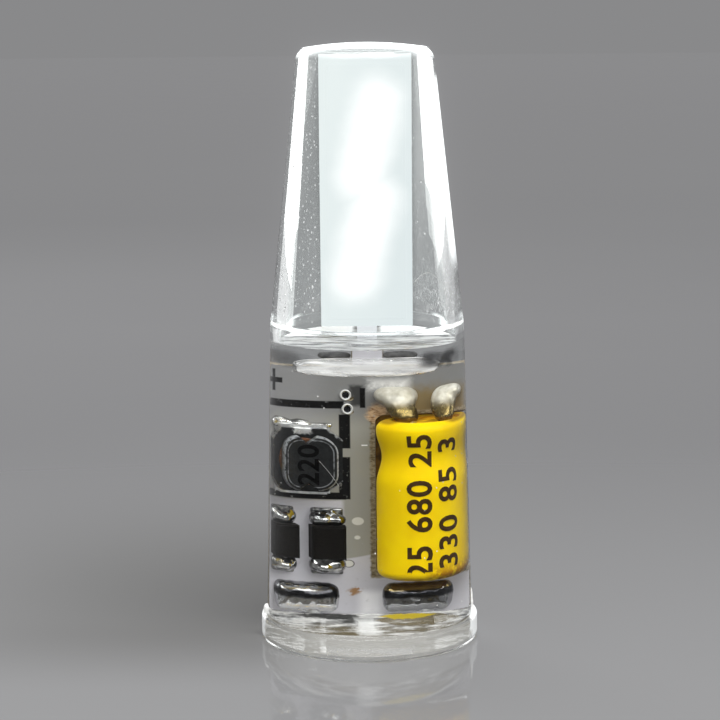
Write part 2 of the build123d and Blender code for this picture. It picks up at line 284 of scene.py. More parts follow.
    def over(self, factor: Value, first: Shade, second: Shade) -> Shade:
        """Mixes two surfaces."""
        return self.node("ShaderNodeMixShader", None, {0: factor, 1: first, 2: second})

    def done(self, shader: Shade) -> bpy.types.Material:
        """Ends the graph in a surface.

        Args:
            shader: The surface.

        Returns:
            The material.
        """
        end = self.tree.nodes.new("ShaderNodeOutputMaterial")
        self.tree.links.new(shader.socket, end.inputs["Surface"])
        return self.material

    def box(self, across: Shade, up: Shade, middle: Point, half: Point, soft: float) -> Shade:
        """One inside an upright rectangle.

        Args:
            across: The point's place across.
            up: The point's place up.
            middle: The rectangle's middle.
            half: Its half sizes.
            soft: The width of its eased edge.

        Returns:
            The mask.
        """
        off = (abs(across - middle[0]) - half[0]).at_least(abs(up - middle[1]) - half[1])
        return off.ramp(soft / 2, -soft / 2)

    def disc(self, across: Shade, up: Shade, middle: Point, radius: float, soft: float) -> Shade:
        """One inside a disc, with an eased edge."""
        side, rise = across - middle[0], up - middle[1]
        return ((side * side + rise * rise) ** 0.5).ramp(radius + soft / 2, radius - soft / 2)

    def stroke(self, across: Shade, up: Shade, start: Point, end: Point) -> Shade:
        """The distance in millimetres from a straight stroke.

        Args:
            across: The point's place across.
            up: The point's place up.
            start: Where the stroke begins.
            end: Where it ends.

        Returns:
            The distance.
        """
        run = (end[0] - start[0], end[1] - start[1])
        side, rise = across - start[0], up - start[1]
        along = ((side * run[0] + rise * run[1]) / (run[0] ** 2 + run[1] ** 2)).at_least(0.0).at_most(1.0)
        side, rise = side - along * run[0], rise - along * run[1]
        return (side * side + rise * rise) ** 0.5


class Finish(Protocol):
    """Anything that can make a material."""

    def make(self) -> bpy.types.Material:
        """The finish's material."""


@functools.cache
def coat(finish: Finish) -> bpy.types.Material:
    """The material of a finish, made once."""
    return finish.make()


@dataclass(frozen=True)
class ClearPlastic:
    """The clear moulding: dust, fine scratches, and a painted glow for the piped light that leaves at its
    crown and its step.
    """

    name: str = "clear_plastic"
    sheen: float = 0.35
    tint: Colour = (0.975, 1.0, 0.993)
    dust: Colour = (0.86, 0.88, 0.88)
    piped: Colour = (0.93, 0.97, 0.97)
    crown: Point = (29.60, 29.68)
    step: Point = (15.65, 16.25)
    ledge: Point = (16.04, 16.13)
    bore: float = 4.62

    def marks(self, graph: Graph) -> Shade:
        """Finds motes, scratches and haze on the cap, and torn glue at the foot.

        Args:
            graph: The material's nodes.

        Returns:
            How much of the surface they cover.
        """
        x, _, z = graph.axes
        cap = z.ramp(16.2, 17.0)
        aside = abs(x).ramp(2.25, 2.4)
        fine = graph.specks(5.0, 0.55, 0.26, graph.stretch((1.0, 1.0, 0.7)))
        fine = fine * (0.3 + 0.7 * x.ramp(-1.6, -2.3)) * aside * cap
        loose = graph.specks(3.2, 0.08, 0.22) * cap * aside
        combed = graph.grain(4.5, 1.0, at=graph.stretch((1.0, 1.0, 0.35)))
        scratch = abs(combed - 0.5).ramp(0.02, 0.0) * x.ramp(2.4, 3.4) * z.ramp(20.5, 17.5) * cap
        upper = x.ramp(0.0, 2.0) * z.ramp(18.0, 25.0)
        haze = (0.015 + 0.03 * graph.grain(1.1, 3.0) + 0.05 * upper) * cap * aside
        torn = (graph.grain(1.6, 4.0, 0.65) - 0.5) * 0.5
        glue = (abs(x + 0.1) + torn).ramp(5.1, 5.3) * z.ramp(1.7, 1.3) * z.ramp(0.1, 0.4)
        return (fine.at_least(loose).at_least(scratch) * 0.55 + haze).at_least(glue).at_most(0.85)

    def leaks(self, graph: Graph) -> Shade:
        """Finds where a painted glow stands for piped light leaving: the step and its ledge, the crown and
        the right flank.

        Args:
            graph: The material's nodes.

        Returns:
            How strongly it shows.
        """
        x, y, z = graph.axes
        radius = (x * x + y * y) ** 0.5
        inside = radius.ramp(self.bore + 0.02, self.bore - 0.02)
        streak = graph.grain(1.2, 3.0, at=graph.stretch((0.8, 0.8, 3.0)))
        wander = x + (streak - 0.5) * 0.9
        ends = wander.ramp(-2.0, -2.4).at_least(wander.ramp(2.1, 2.6)) * y.ramp(2.2, 1.3)
        low, high = self.step
        step = z.ramp(low - 0.05, low + 0.05) * z.ramp(high + 0.1, high - 0.1) * inside
        step = step * (0.03 + 0.85 * ends * y.ramp(-0.5, 0.5)) * streak.ramp(0.2, 0.45)
        low, high = self.ledge
        ledge = z.ramp(low - 0.01, low) * z.ramp(high + 0.01, high) * inside
        slant = graph.slant()
        edge = self.crown[0]
        turned = radius.ramp(2.7, 3.0) * z.ramp(edge - 0.45, edge - 0.1) * slant.ramp(0.98, 0.85)
        crown = z.ramp(*self.crown).at_least(turned) * (0.75 + 0.2 * streak)
        crown = crown * (0.12 + 0.88 * slant.ramp(0.35, 0.8))
        flank = slant.ramp(0.58, 0.70) * x.ramp(2.4, 3.0) * z.ramp(18.5, 20.3) * z.ramp(28.6, 28.0)
        crown = crown.at_least(flank * (0.7 + 0.3 * streak))
        return crown.at_least(step).at_least(ledge * (0.08 + 0.6 * ends))

    def make(self) -> bpy.types.Material:
        """Mixes the finish.

        Returns:
            The moulding's material.
        """
        graph = Graph(self.name)
        wave = graph.bump(graph.grain(0.25, 1.0), 0.02, 0.3)
        clear = graph.glass(self.tint, wave, Specular_Tint=(self.sheen, self.sheen, self.sheen, 1.0))
        dust = graph.surface(Base_Color=self.dust, Roughness=0.8)
        worn = graph.over(self.marks(graph), clear, dust)
        # painted glow: an emitting surface where piped light would leave the wall
        return graph.done(graph.over(self.leaks(graph), worn, graph.glow(self.piped, 0.5, 0.75)))


@dataclass(frozen=True)
class ClearResin:
    """The clear potting resin's open faces: a filmed top with a painted glow behind the board, and a milky
    foot.
    """

    tint: Colour = (0.99, 0.995, 0.99)
    film: Colour = (0.85, 0.85, 0.85)
    dark: Colour = (0.09, 0.09, 0.095)
    pale: Colour = (0.50, 0.50, 0.50)
    board_back: float = 1.2

    def make(self) -> bpy.types.Material:
        """Mixes the finish.

        Returns:
            The resin's material.
        """
        graph = Graph("clear_resin")
        x, y, z = graph.axes
        clear = graph.glass(self.tint, graph.bump(graph.grain(0.55), 0.05, 0.5))
        top = z.ramp(8.0, 12.0)
        behind = y.ramp(self.board_back - 0.4, self.board_back) * abs(x).ramp(0.6, 0.85)
        streak = graph.grain(1.4, 4.0, 0.6, graph.stretch((0.5, 2.0, 1.0)))
        film = top * (0.55 + 0.35 * streak.ramp(0.35, 0.65)).at_least(behind * 0.8)
        milk = (1.0 - top) * (0.2 + 0.3 * streak)
        specks = graph.specks(2.6, 0.12, 0.2) * 0.6
        grey = graph.blend(top, self.film, graph.blend(streak.ramp(0.4, 0.6), self.dark, self.pale))
        dull = graph.surface(Base_Color=grey, Roughness=0.6, Specular_IOR_Level=0.1)
        # painted glow: the film behind the board shines, for the lit plate's light falling on it
        lit = graph.over(top * behind, dull, graph.glow(self.film, 0.6, 0.35))
        return graph.done(graph.over(specks.at_least(film + milk).at_most(0.95), clear, lit))


@dataclass(frozen=True)
class BondLine:
    """Where the resin has wetted the wall: no light is turned there, and what shows is what it has trapped,
    with painted light and shade.

    That is specks all over, a painted shade under the resin's rim, streaks of old flux and glue at the foot,
    and a painted reflection of the yellow sleeve there.
    """

    speck: Colour = (0.82, 0.82, 0.80)
    painted_shade: Colour = (0.012, 0.012, 0.013)
    # amber: the colour of the painted reflection of the yellow sleeve at the foot
    amber: Colour = (0.50, 0.38, 0.02)
    silt: Colour = (0.15, 0.12, 0.065)
    milk: Colour = (0.41, 0.40, 0.375)
    dark: Colour = (0.045, 0.045, 0.042)
    pale: Colour = (0.82, 0.81, 0.78)
    soot: Colour = (0.03, 0.03, 0.028)
    white: Colour = (0.88, 0.88, 0.86)
    foot: Point = (1.15, 2.35)
    clear_foot: float = 0.6
    wall: float = 4.85
    slope: float = 0.2
    rim: Point = (14.2, 15.2)

    @staticmethod
    def lens(x: Shade, level: Shade, middle: Point, half: float, swell: float) -> Shade:
        """A smear that tapers to both of its ends.

        Args:
            x: The place across.
            level: The place up.
            middle: Its middle.
            half: Half its length.
            swell: Half its height at the middle.

        Returns:
            One inside the smear.
        """
        along = (x - middle[0]) * (1.0 / half)
        return ((1.0 - along * along) * swell - abs(level - middle[1])).ramp(0.0, 0.06)

    def make(self) -> bpy.types.Material:
        """Mixes the finish.

        Returns:
            The bond line's material.
        """
        graph = Graph("bond_line")
        x, y, z = graph.axes
        front = y.ramp(0.5, -0.5)
        cloud = graph.grain(0.9, 4.0, 0.6)
        shaded = (x.ramp(2.0, 3.0) * x.ramp(4.4, 3.9)).at_least(x.ramp(-2.4, -3.6) * 0.45)
        band = z.ramp(self.rim[0] - 0.1, self.rim[0] + 0.35) * z.ramp(self.rim[1], self.rim[1] - 0.4)
        # painted shade: a dark film under the resin's rim, full on the right and fainter on the left
        painted_shade = shaded * band * front * cloud.ramp(0.3, 0.56) * 0.75
        level = z + self.slope * (y + self.wall)
        laid = graph.node("ShaderNodeCombineXYZ", None, {0: x * 0.28, 1: y * 0.28, 2: level * 3.2})
        streak = graph.grain(1.6, 4.0, 0.6, laid)
        low = (level + (streak - 0.5) * 0.1).ramp(self.foot[1] + 0.05, self.foot[1] - 0.05) * front
        silt = (level + (cloud - 0.5) * 0.4).ramp(1.9, 1.55) * streak.ramp(0.62, 0.46) * 0.8
        torn = (graph.grain(2.8, 4.0, 0.65) - 0.5) * 0.5
        ragged = level + torn * 0.4 + (cloud - 0.5) * 0.2
        soot = self.lens(x, ragged, (-2.0, 2.22), 1.7, 0.2) * streak.ramp(0.7, 0.5)
        brown = self.lens(x, ragged, (2.3, 2.0), 2.2, 0.34) * streak.ramp(0.72, 0.52)
        # painted reflection of the yellow sleeve, amber, at the foot
        painted_sleeve_reflection = self.lens(x, ragged, (1.8, 2.2), 1.55, 0.16)
        strayed = x + (cloud - 0.5) * 1.2 + torn * 1.6 + level * 0.35
        bright = graph.box(strayed, level + torn * 0.4, (0.45, 1.66), (0.42, 0.42), 0.45) * 0.85
        tone = graph.layers(
            graph.blend(streak.ramp(0.38, 0.66), self.dark, self.pale),
            (silt, self.silt),
            (soot, self.soot),
            (brown, self.silt),
            (painted_sleeve_reflection, self.amber),
            (bright, self.white),
            ((z + x * x * 0.012).ramp(self.foot[0] + 0.1, self.foot[0] - 0.1), self.milk),
        )
        colour = graph.layers(self.speck, (painted_shade.over(0.02), self.painted_shade), (low.over(0.02), tone))
        sides = abs(x).ramp(1.5, 2.6)
        film = low * (0.62 + 0.3 * abs(streak - 0.5).ramp(0.02, 0.14)).at_least(painted_sleeve_reflection.at_least(soot) * 0.9)
        veiled = (z + torn * 0.2).ramp(self.clear_foot - 0.1, self.clear_foot + 0.1) * 0.5
        film = film * (0.5 + veiled.at_least(sides * 0.45))
        film = film.at_least(low * z.ramp(1.2, 1.0) * sides * 0.6)
        alpha = (graph.specks(3.4, 0.08, 0.15) * 0.7).at_least(painted_shade).at_least(film)
        return graph.done(graph.surface(Base_Color=colour, Roughness=0.4, Alpha=alpha))


@dataclass(frozen=True)
class AirPocket:
    """The face between the resin and a pocket of air, dusty in streaks and with a painted reflection towards
    its rim.
    """

    tint: Colour = (0.98, 0.98, 0.98)
    lining_and_sheen: Colour = (0.88, 0.88, 0.87)

    def make(self) -> bpy.types.Material:
        """Mixes the finish.

        Returns:
            The pocket's material.
        """
        graph = Graph("air_pocket")
        air = graph.glass(self.tint, graph.bump(graph.grain(1.2), 0.03, 0.4), Roughness=0.02)
        dust = graph.surface(Base_Color=self.lining_and_sheen, Roughness=0.6, Specular_IOR_Level=0.1)
        smear = graph.grain(1.6, 3.0, at=graph.stretch((0.4, 1.0, 2.4)))
        # dust in streaks, plus a painted reflection that grows towards the pocket's rim
        dust_and_rim_sheen = 0.16 + 0.34 * smear.ramp(0.4, 0.65) + 0.4 * graph.slant().ramp(0.55, 0.95)
        specks = graph.specks(3.5, 0.2, 0.18) * 0.7
        return graph.done(graph.over(specks.at_least(dust_and_rim_sheen), air, dust))


@dataclass(frozen=True)
class BoardMask:
    """White solder mask with dark printed signs over tan glass-fibre laminate, painted lighter low down,
    darker up top and glowing at the tongue.
    """

    mask: Colour = (0.30, 0.295, 0.262)
    painted_lit_mask: Colour = (0.52, 0.51, 0.54)
    painted_shade_top: Colour = (0.20, 0.20, 0.195)
    painted_lit_white: Colour = (0.80, 0.79, 0.80)
    worn_mask: Colour = (0.25, 0.24, 0.22)
    ink: Colour = (0.004, 0.004, 0.004)
    laminate: Colour = (0.115, 0.085, 0.042)
    fibres: Colour = (0.34, 0.29, 0.20)
    burnt: Colour = (0.20, 0.085, 0.03)
    charred: Colour = (0.62, 0.44, 0.27)
    flux: Colour = (0.18, 0.125, 0.04)
    dried_flux: Colour = (0.30, 0.15, 0.04)
    tinned: Colour = (0.70, 0.69, 0.66)
    hole: Colour = (0.05, 0.05, 0.05)
    filled: Colour = (0.62, 0.61, 0.56)
    scratch: Colour = (0.9, 0.9, 0.88)
    painted_plate_glow: Colour = (0.40, 0.42, 0.42)
    bared: float = 0.18
    notch_left: float = 0.24
    notch_half: float = 2.0
    notch: Point = (3.35, 11.55)
    lit_tongue: float = 15.2
    ring: Point = (-0.68, 3.93)
    dots: tuple[tuple[Point, float], ...] = (
        ((-0.36, 6.12), 0.2),
        ((-0.38, 5.28), 0.1),
        ((-0.68, 3.93), 0.165),
    )
    bars: tuple[tuple[Point, Point], ...] = (
        ((-3.5, 13.2), (0.5, 0.13)),
        ((-3.5, 13.2), (0.12, 0.55)),
        ((-2.4, 12.05), (1.6, 0.19)),
        ((-2.46, 7.40), (1.72, 0.18)),
        ((-0.78, 10.7), (0.19, 0.86)),
        ((-0.79, 8.32), (0.19, 1.08)),
        ((-0.17, 12.4), (0.09, 0.5)),
    )

    def make(self) -> bpy.types.Material:
        """Mixes the finish.

        Returns:
            The board's material.
        """
        graph = Graph("board_mask")
        x, _, z = graph.axes
        _, out, _ = graph.parts(graph.node("ShaderNodeTexCoord", output="Normal"))
        front, rear = out.ramp(-0.4, -0.8), out.ramp(0.4, 0.8)
        wear, shade = graph.grain(6.0, 3.0), graph.grain(0.5)
        gnawed = (wear - 0.5) * 0.16

        def ragged(times: float, middle: Point, half: Point, soft: float) -> Shade:
            """A rectangle with a gnawed edge."""
            return graph.box(x + gnawed * times, z + gnawed * times, middle, half, soft)

        # painted light: the mask lighter low down, at the left below the diodes, towards the left edge and on
        # the tongue
        painted_light_low = (z - x * 0.3 - shade * 0.3).ramp(4.3, 4.2)
        left = x.ramp(-0.75, -0.95) * z.ramp(7.25, 7.1)
        light = painted_light_low.at_least(left).at_least(x.ramp(-0.9, -2.2) * 0.15).at_least(z.ramp(14.0, 14.2))
        notch_middle = (self.notch_left + self.notch_half, sum(self.notch) / 2)
        notch_half = (self.notch_half + self.bared, (self.notch[1] - self.notch[0]) / 2 + self.bared)
        fibre = graph.grain(2.6, 5.0, 0.75, graph.stretch((1.6, 1.0, 2.6)))
        laminate = graph.blend(fibre.ramp(0.35, 0.65), self.laminate, self.fibres)
        burnt = graph.blend(fibre.ramp(0.3, 0.6), self.burnt, self.charred)
        scorched = graph.disc(x + gnawed * 3.0, (z - 11.6) * 0.7, (0.3, 0.0), 0.33, 0.25)
        signs: Value = 0.0
        for middle, half in self.bars:
            signs = graph.box(x, z, middle, half, 0.05).at_least(signs)
        flux = graph.disc(x + gnawed * 4.0, z + gnawed * 3.0, (-0.5, 2.5), 0.17, 0.16)
        face = graph.layers(
            self.mask,
            # painted shade: the mask darker towards the top
            (z.ramp(10.8, 12.0), self.painted_shade_top),
            # painted light on the mask
            (light * (0.85 + shade * 0.3), self.painted_lit_mask),
            # painted light: a whiter patch at the board's foot between the pins
            (graph.box(x, z, (0.1, 1.9), (0.4, 0.6), 0.5), self.painted_lit_white),
            (wear.ramp(0.62, 0.8) * 0.25, self.worn_mask),
            # a dark patch beside the minus sign, in the ink's colour
            (ragged(1.0, (-0.38, 12.52), (0.22, 0.52), 0.22) * 0.8, self.ink),
            (ragged(3.0, (2.3, 12.1), (1.5, 0.75), 0.9) * (0.6 + shade * 0.5), self.flux),
            (ragged(2.0, (0.72, 13.08), (0.66, 0.24), 0.45) * (0.25 + wear * 1.1), self.tinned),
            (ragged(1.0, notch_middle, notch_half, 0.1), laminate),
            (scorched, burnt),
            (signs * wear.ramp(0.78, 0.62) * front, self.ink),
            (graph.disc(x, z, self.ring, 0.2, 0.03) * front, self.hole),
            *((graph.disc(x, z, middle, size, 0.05) * front, self.filled) for middle, size in self.dots),
            (flux * front * 0.9, self.dried_flux),
            (graph.box(x, z, (-0.12, 10.0), (0.1, 0.03), 0.03) * front, self.scratch),
        )
        # painted glow: the tongue's top shines as if lit by the plate
        spill = graph.blend(z.ramp(self.lit_tongue, self.lit_tongue + 0.2), (0.0, 0.0, 0.0), self.painted_plate_glow)
        return graph.done(graph.surface(
            Base_Color=graph.blend(front.at_least(rear), laminate, face),
            Roughness=0.32 + wear * 0.2,
            Specular_IOR_Level=0.05,
            Emission_Color=spill,
            Emission_Strength=1.0,
            Normal=graph.bump(wear, 0.01, 0.5),
        ))


@dataclass(frozen=True)
class Glow:
    """A lit surface: pale at its margins and burnt out along its two strings of chips."""

    name: str
    base: Colour = (0.03, 0.03, 0.03)
    margin: Colour = (0.246, 0.262, 0.262)
    dim_margin: Colour = (0.224, 0.242, 0.246)
    core: Colour = (0.345, 0.345, 0.345)
    strength: float = 3.4
    far: float = 9.0
    strings: tuple[tuple[Point, Point], ...] = (((0.62, 27.1), (-0.25, 23.3)), ((0.52, 22.2), (-0.6, 18.4)))

    def make(self) -> bpy.types.Material:
        """Mixes the finish.

        Returns:
            The lit surface's material.
        """
        graph = Graph(self.name)
        x, _, z = graph.axes
        near: Value = self.far
        for start, end in self.strings:
            near = graph.stroke(x, z, start, end).at_most(near)
        mottle = graph.grain(0.8) - 0.5
        side = x.ramp(-1.8, 1.8) * 0.6 + z.ramp(28.0, 18.0) * 0.4
        margin = graph.blend(side + mottle * 0.4, self.margin, self.dim_margin)
        return graph.done(graph.surface(
            Base_Color=self.base,
            Roughness=0.55,
            Specular_IOR_Level=0.0,
            Emission_Color=graph.blend((near + mottle * 0.5).ramp(1.9, 0.1), margin, self.core),
            Emission_Strength=self.strength,
        ))


@dataclass(frozen=True)
class Metal:
    """A bare metal with a mottled, slightly dulled surface."""

    name: str
    bright: Colour
    dull: Colour
    roughness: float = 0.2
    spread: float = 0.2
    scale: float = 3.0
    depth: float = 0.01

    def make(self) -> bpy.types.Material:
        """Mixes the finish.

        Returns:
            The metal's material.
        """
        graph = Graph(self.name)
        cloud, fine = graph.grain(self.scale, 3.0, 0.6), graph.grain(self.scale * 2.5)
        return graph.done(graph.surface(
            Base_Color=graph.blend(cloud.ramp(0.35, 0.7), self.bright, self.dull),
            Metallic=1.0,
            Roughness=self.roughness + fine * self.spread,
            Normal=graph.bump(fine, self.depth),
        ))


@dataclass(frozen=True)
class BlobSolder:
    """The capacitor's joints: cream solder, painted light on top and painted amber shade towards its foot."""

    painted_lit_cream: Colour = (0.74, 0.72, 0.64)
    cloudy: Colour = (0.42, 0.39, 0.30)
    painted_amber_shade: Colour = (0.17, 0.125, 0.045)
    # the heights over which the painted shade turns into painted light
    run: Point = (11.90, 12.60)

    def make(self) -> bpy.types.Material:
        """Mixes the finish.

        Returns:
            The joints' material.
        """
        graph = Graph("blob_solder")
        cloud, fine = graph.grain(1.3, 3.0, 0.6), graph.grain(3.2)
        # painted light and shade: lighter on top, darker amber towards the foot
        top = (graph.axes[2] + (cloud - 0.5) * 0.6).ramp(*self.run)
        painted_lit_cream = graph.blend(cloud.ramp(0.35, 0.7), self.painted_lit_cream, self.cloudy)
        return graph.done(graph.surface(
            Base_Color=graph.blend(top, self.painted_amber_shade, painted_lit_cream),
            Metallic=0.9 - 0.5 * top,
            Roughness=0.2 + 0.12 * top + fine * 0.14,
            Normal=graph.bump(fine, 0.05),
        ))


@dataclass(frozen=True)
class PinSolder:
    """The pins' joints: glassy, dark above a seam and clearer below it, as painted reflection, with a painted
    highlight and a painted amber reflection on top.
    """

    dark: Colour = (0.035, 0.035, 0.038)
    clear: Colour = (0.62, 0.62, 0.63)
    amber: Colour = (0.20, 0.15, 0.06)
    seam: float = 2.25
    crest: float = 2.72

    def make(self) -> bpy.types.Material:
        """Mixes the finish.

        Returns:
            The joints' material.
        """
        graph = Graph("pin_solder")
        x, _, z = graph.axes
        cloud, fine = graph.grain(0.9, 3.0, 0.6), graph.grain(2.2)
        height = z + (cloud - 0.5) * 0.3
        # painted reflection: the joint lighter below the seam
        painted_reflection_below = height.ramp(self.seam + 0.08, self.seam - 0.08) * cloud.ramp(0.95, 0.5)
        painted_reflection_below = painted_reflection_below * (1.0 - 0.5 * x.ramp(0.0, 0.5))
        # painted highlight on the left joint's top, painted amber reflection of the sleeve on the right one's
        crest = height.ramp(self.crest - 0.12, self.crest)
        upper = graph.blend(crest * x.ramp(0.2, 0.6), self.dark, self.amber)
        return graph.done(graph.surface(
            Base_Color=graph.blend(painted_reflection_below.at_least(crest * x.ramp(-1.4, -2.2) * 0.5), upper, self.clear),
            Metallic=1.0,
            Roughness=0.08 + fine * 0.12,
            Normal=graph.bump(fine, 0.05),
        ))


@dataclass(frozen=True)
class Moulded:
    """An opaque moulded, pressed or coated material with a fine grain."""

    name: str
    colour: Colour
    second: Colour
    roughness: float = 0.4
    scale: float = 5.0
    depth: float = 0.01
    gloss: float = 0.08

    def make(self) -> bpy.types.Material:
        """Mixes the finish.

        Returns:
            The material.
        """
        graph = Graph(self.name)
        cloud = graph.grain(self.scale, 4.0, 0.6)
        return graph.done(graph.surface(
            Base_Color=graph.blend(cloud.ramp(0.3, 0.7), self.colour, self.second),
            Roughness=self.roughness + cloud * 0.2,
            Specular_IOR_Level=self.gloss,
            Normal=graph.bump(cloud, self.depth),
        ))


@dataclass(frozen=True)
class Ferrite:
    """The inductor's core: near black, a painted highlight on its head's rim, and its foot tinned along two
    sides.
    """

    colour: Colour = (0.0060, 0.0064, 0.0066)
    second: Colour = (0.0120, 0.0126, 0.0130)
    painted_rim_highlight: Colour = (0.30, 0.31, 0.32)
    tin: Colour = (0.82, 0.82, 0.80)
    painted_shaded_tin: Colour = (0.20, 0.20, 0.20)
    middle: Point = (-2.4, 9.3)
    head: Point = (1.24, 1.37)
    corner: float = 0.85
    head_y: float = -1.2
    foot_y: float = -0.45
    tinned: float = 2.45

    def make(self) -> bpy.types.Material:
        """Mixes the finish.

        Returns:
            The core's material.
        """
        graph = Graph("ferrite")
        x, y, z = graph.axes
        cloud = graph.grain(6.0, 4.0, 0.6)
        side, rise = abs(x - self.middle[0]), z - self.middle[1]
        across = side - (self.head[0] - self.corner)
        up = abs(rise) - (self.head[1] - self.corner)
        wide, tall = across.at_least(0.0), up.at_least(0.0)
        inside = (wide * wide + tall * tall) ** 0.5 + across.at_least(up).at_most(0.0) - self.corner
        # painted highlight: two bright lines along the head's rim
        rim = abs(inside + 0.03).ramp(0.05, 0.02).at_least(abs(inside + 0.19).ramp(0.035, 0.01) * 0.6)
        rim = rim * y.ramp(self.head_y + 0.1, self.head_y) * cloud.ramp(0.3, 0.55)
        black = graph.surface(
            Base_Color=graph.layers(self.colour, (cloud.ramp(0.3, 0.7), self.second), (rim, self.painted_rim_highlight)),
            Roughness=0.3 + cloud * 0.2,
            Specular_IOR_Level=0.1,
            Normal=graph.bump(cloud, 0.02),
        )
        ragged = (cloud - 0.5) * 0.5
        corners = (side + abs(rise) + ragged).ramp(self.tinned, self.tinned + 0.1)
        notch = (rise + ragged * 0.5).ramp(1.28, 1.36) * (side + ragged).ramp(0.45, 0.3)
        foot = corners.at_least(notch) * y.ramp(self.foot_y - 0.1, self.foot_y)
        # painted shade: the tin darker on the lower corners of the foot
        tone = graph.blend(notch.at_least(rise.ramp(0.0, 0.5) * 0.4), self.painted_shaded_tin, self.tin)
        silver = graph.surface(Base_Color=tone, Metallic=1.0, Roughness=0.18 + cloud * 0.25)
        return graph.done(graph.over(foot, black, silver))


@dataclass(frozen=True)
class SleeveFilm:
    """Shrunk yellow film, with a brown stain where flux has crept up its foot."""

    colour: Colour = (1.0, 0.70, 0.001)
    deep: Colour = (0.93, 0.62, 0.001)
    stain: Colour = (0.36, 0.11, 0.005)
    shade: Colour = (0.20, 0.09, 0.004)
    foot: float = 3.45

    def make(self) -> bpy.types.Material:
        """Mixes the finish.

        Returns:
            The film's material.
        """
        graph = Graph("yellow_sleeve")
        x, y, z = graph.axes
        cloud, wet = graph.grain(0.7), graph.grain(2.2, 3.0, 0.6)
        rise = z - self.foot
        creep = (rise + (wet - 0.5) * 1.6).ramp(1.1, 0.3) * x.ramp(2.2, 3.2) * 0.85
        colour = graph.layers(
            self.colour,
            (cloud.ramp(0.3, 0.7), self.deep),
            # painted shade along the top front of the sleeve
            (z.ramp(11.25, 11.4) * y.ramp(-2.3, -1.8) * 0.8, self.shade),
            (creep.at_least(rise.ramp(0.25, 0.05) * 0.5) * wet.ramp(0.3, 0.55), self.stain),
        )
        return graph.done(graph.surface(
            Base_Color=colour,
            Roughness=0.33 + cloud * 0.1,
            Specular_IOR_Level=0.06,
            Normal=graph.bump(cloud, 0.03, 0.4),
        ))


@dataclass(frozen=True)
class CanMetal:
    """Drawn aluminium, its rolled rim painted amber with the yellow sleeve's light."""

    bright: Colour = (0.72, 0.72, 0.73)
    amber: Colour = (0.62, 0.36, 0.02)
    rim: float = 10.6

    def make(self) -> bpy.types.Material:
        """Mixes the finish.

        Returns:
            The can's material.
        """
        graph = Graph("can_metal")
        # painted light: the rim in the sleeve's amber light
        colour = graph.blend(graph.axes[2].ramp(self.rim, self.rim + 0.4), self.bright, self.amber)
        cloud = graph.grain(3.0, 3.0, 0.6)
        return graph.done(graph.surface(Base_Color=colour, Metallic=1.0, Roughness=0.35 + cloud * 0.2))


@dataclass(frozen=True)
class FloorPaint:
    """The studio floor: a pale, slightly glossy sheet, painted darker towards the back, with a painted shadow
    left of the bulb.
    """

    colour: Colour = (0.192, 0.193, 0.195)
    far: Colour = (0.132, 0.132, 0.135)
    dim: Colour = (0.108, 0.107, 0.105)

    def make(self) -> bpy.types.Material:
        """Mixes the finish.

        Returns:
            The floor's material.
        """
        graph = Graph("floor_sheet")
        x, y, _ = graph.axes
        cloud = graph.grain(0.02, 3.0)
        # painted shade: the floor darker towards the back
        back = y.ramp(-30.0, 60.0) * (0.9 + 0.2 * cloud)
        # painted shadow: a dark band on the floor to the left of the bulb
        band = y.ramp(40.0, 8.0) * y.ramp(-10.0, 1.0) * x.ramp(-2.5, -6.0) * x.ramp(-34.0, -5.0)
        colour = graph.layers(self.colour, (back, self.far), (band, self.dim))
        return graph.done(graph.surface(Base_Color=colour, Roughness=0.02 + cloud * 0.04, IOR=1.32))


@dataclass(frozen=True)
class Ball:
    """One drop of a melted shape, in millimetres."""

    place: Place
    size: Place


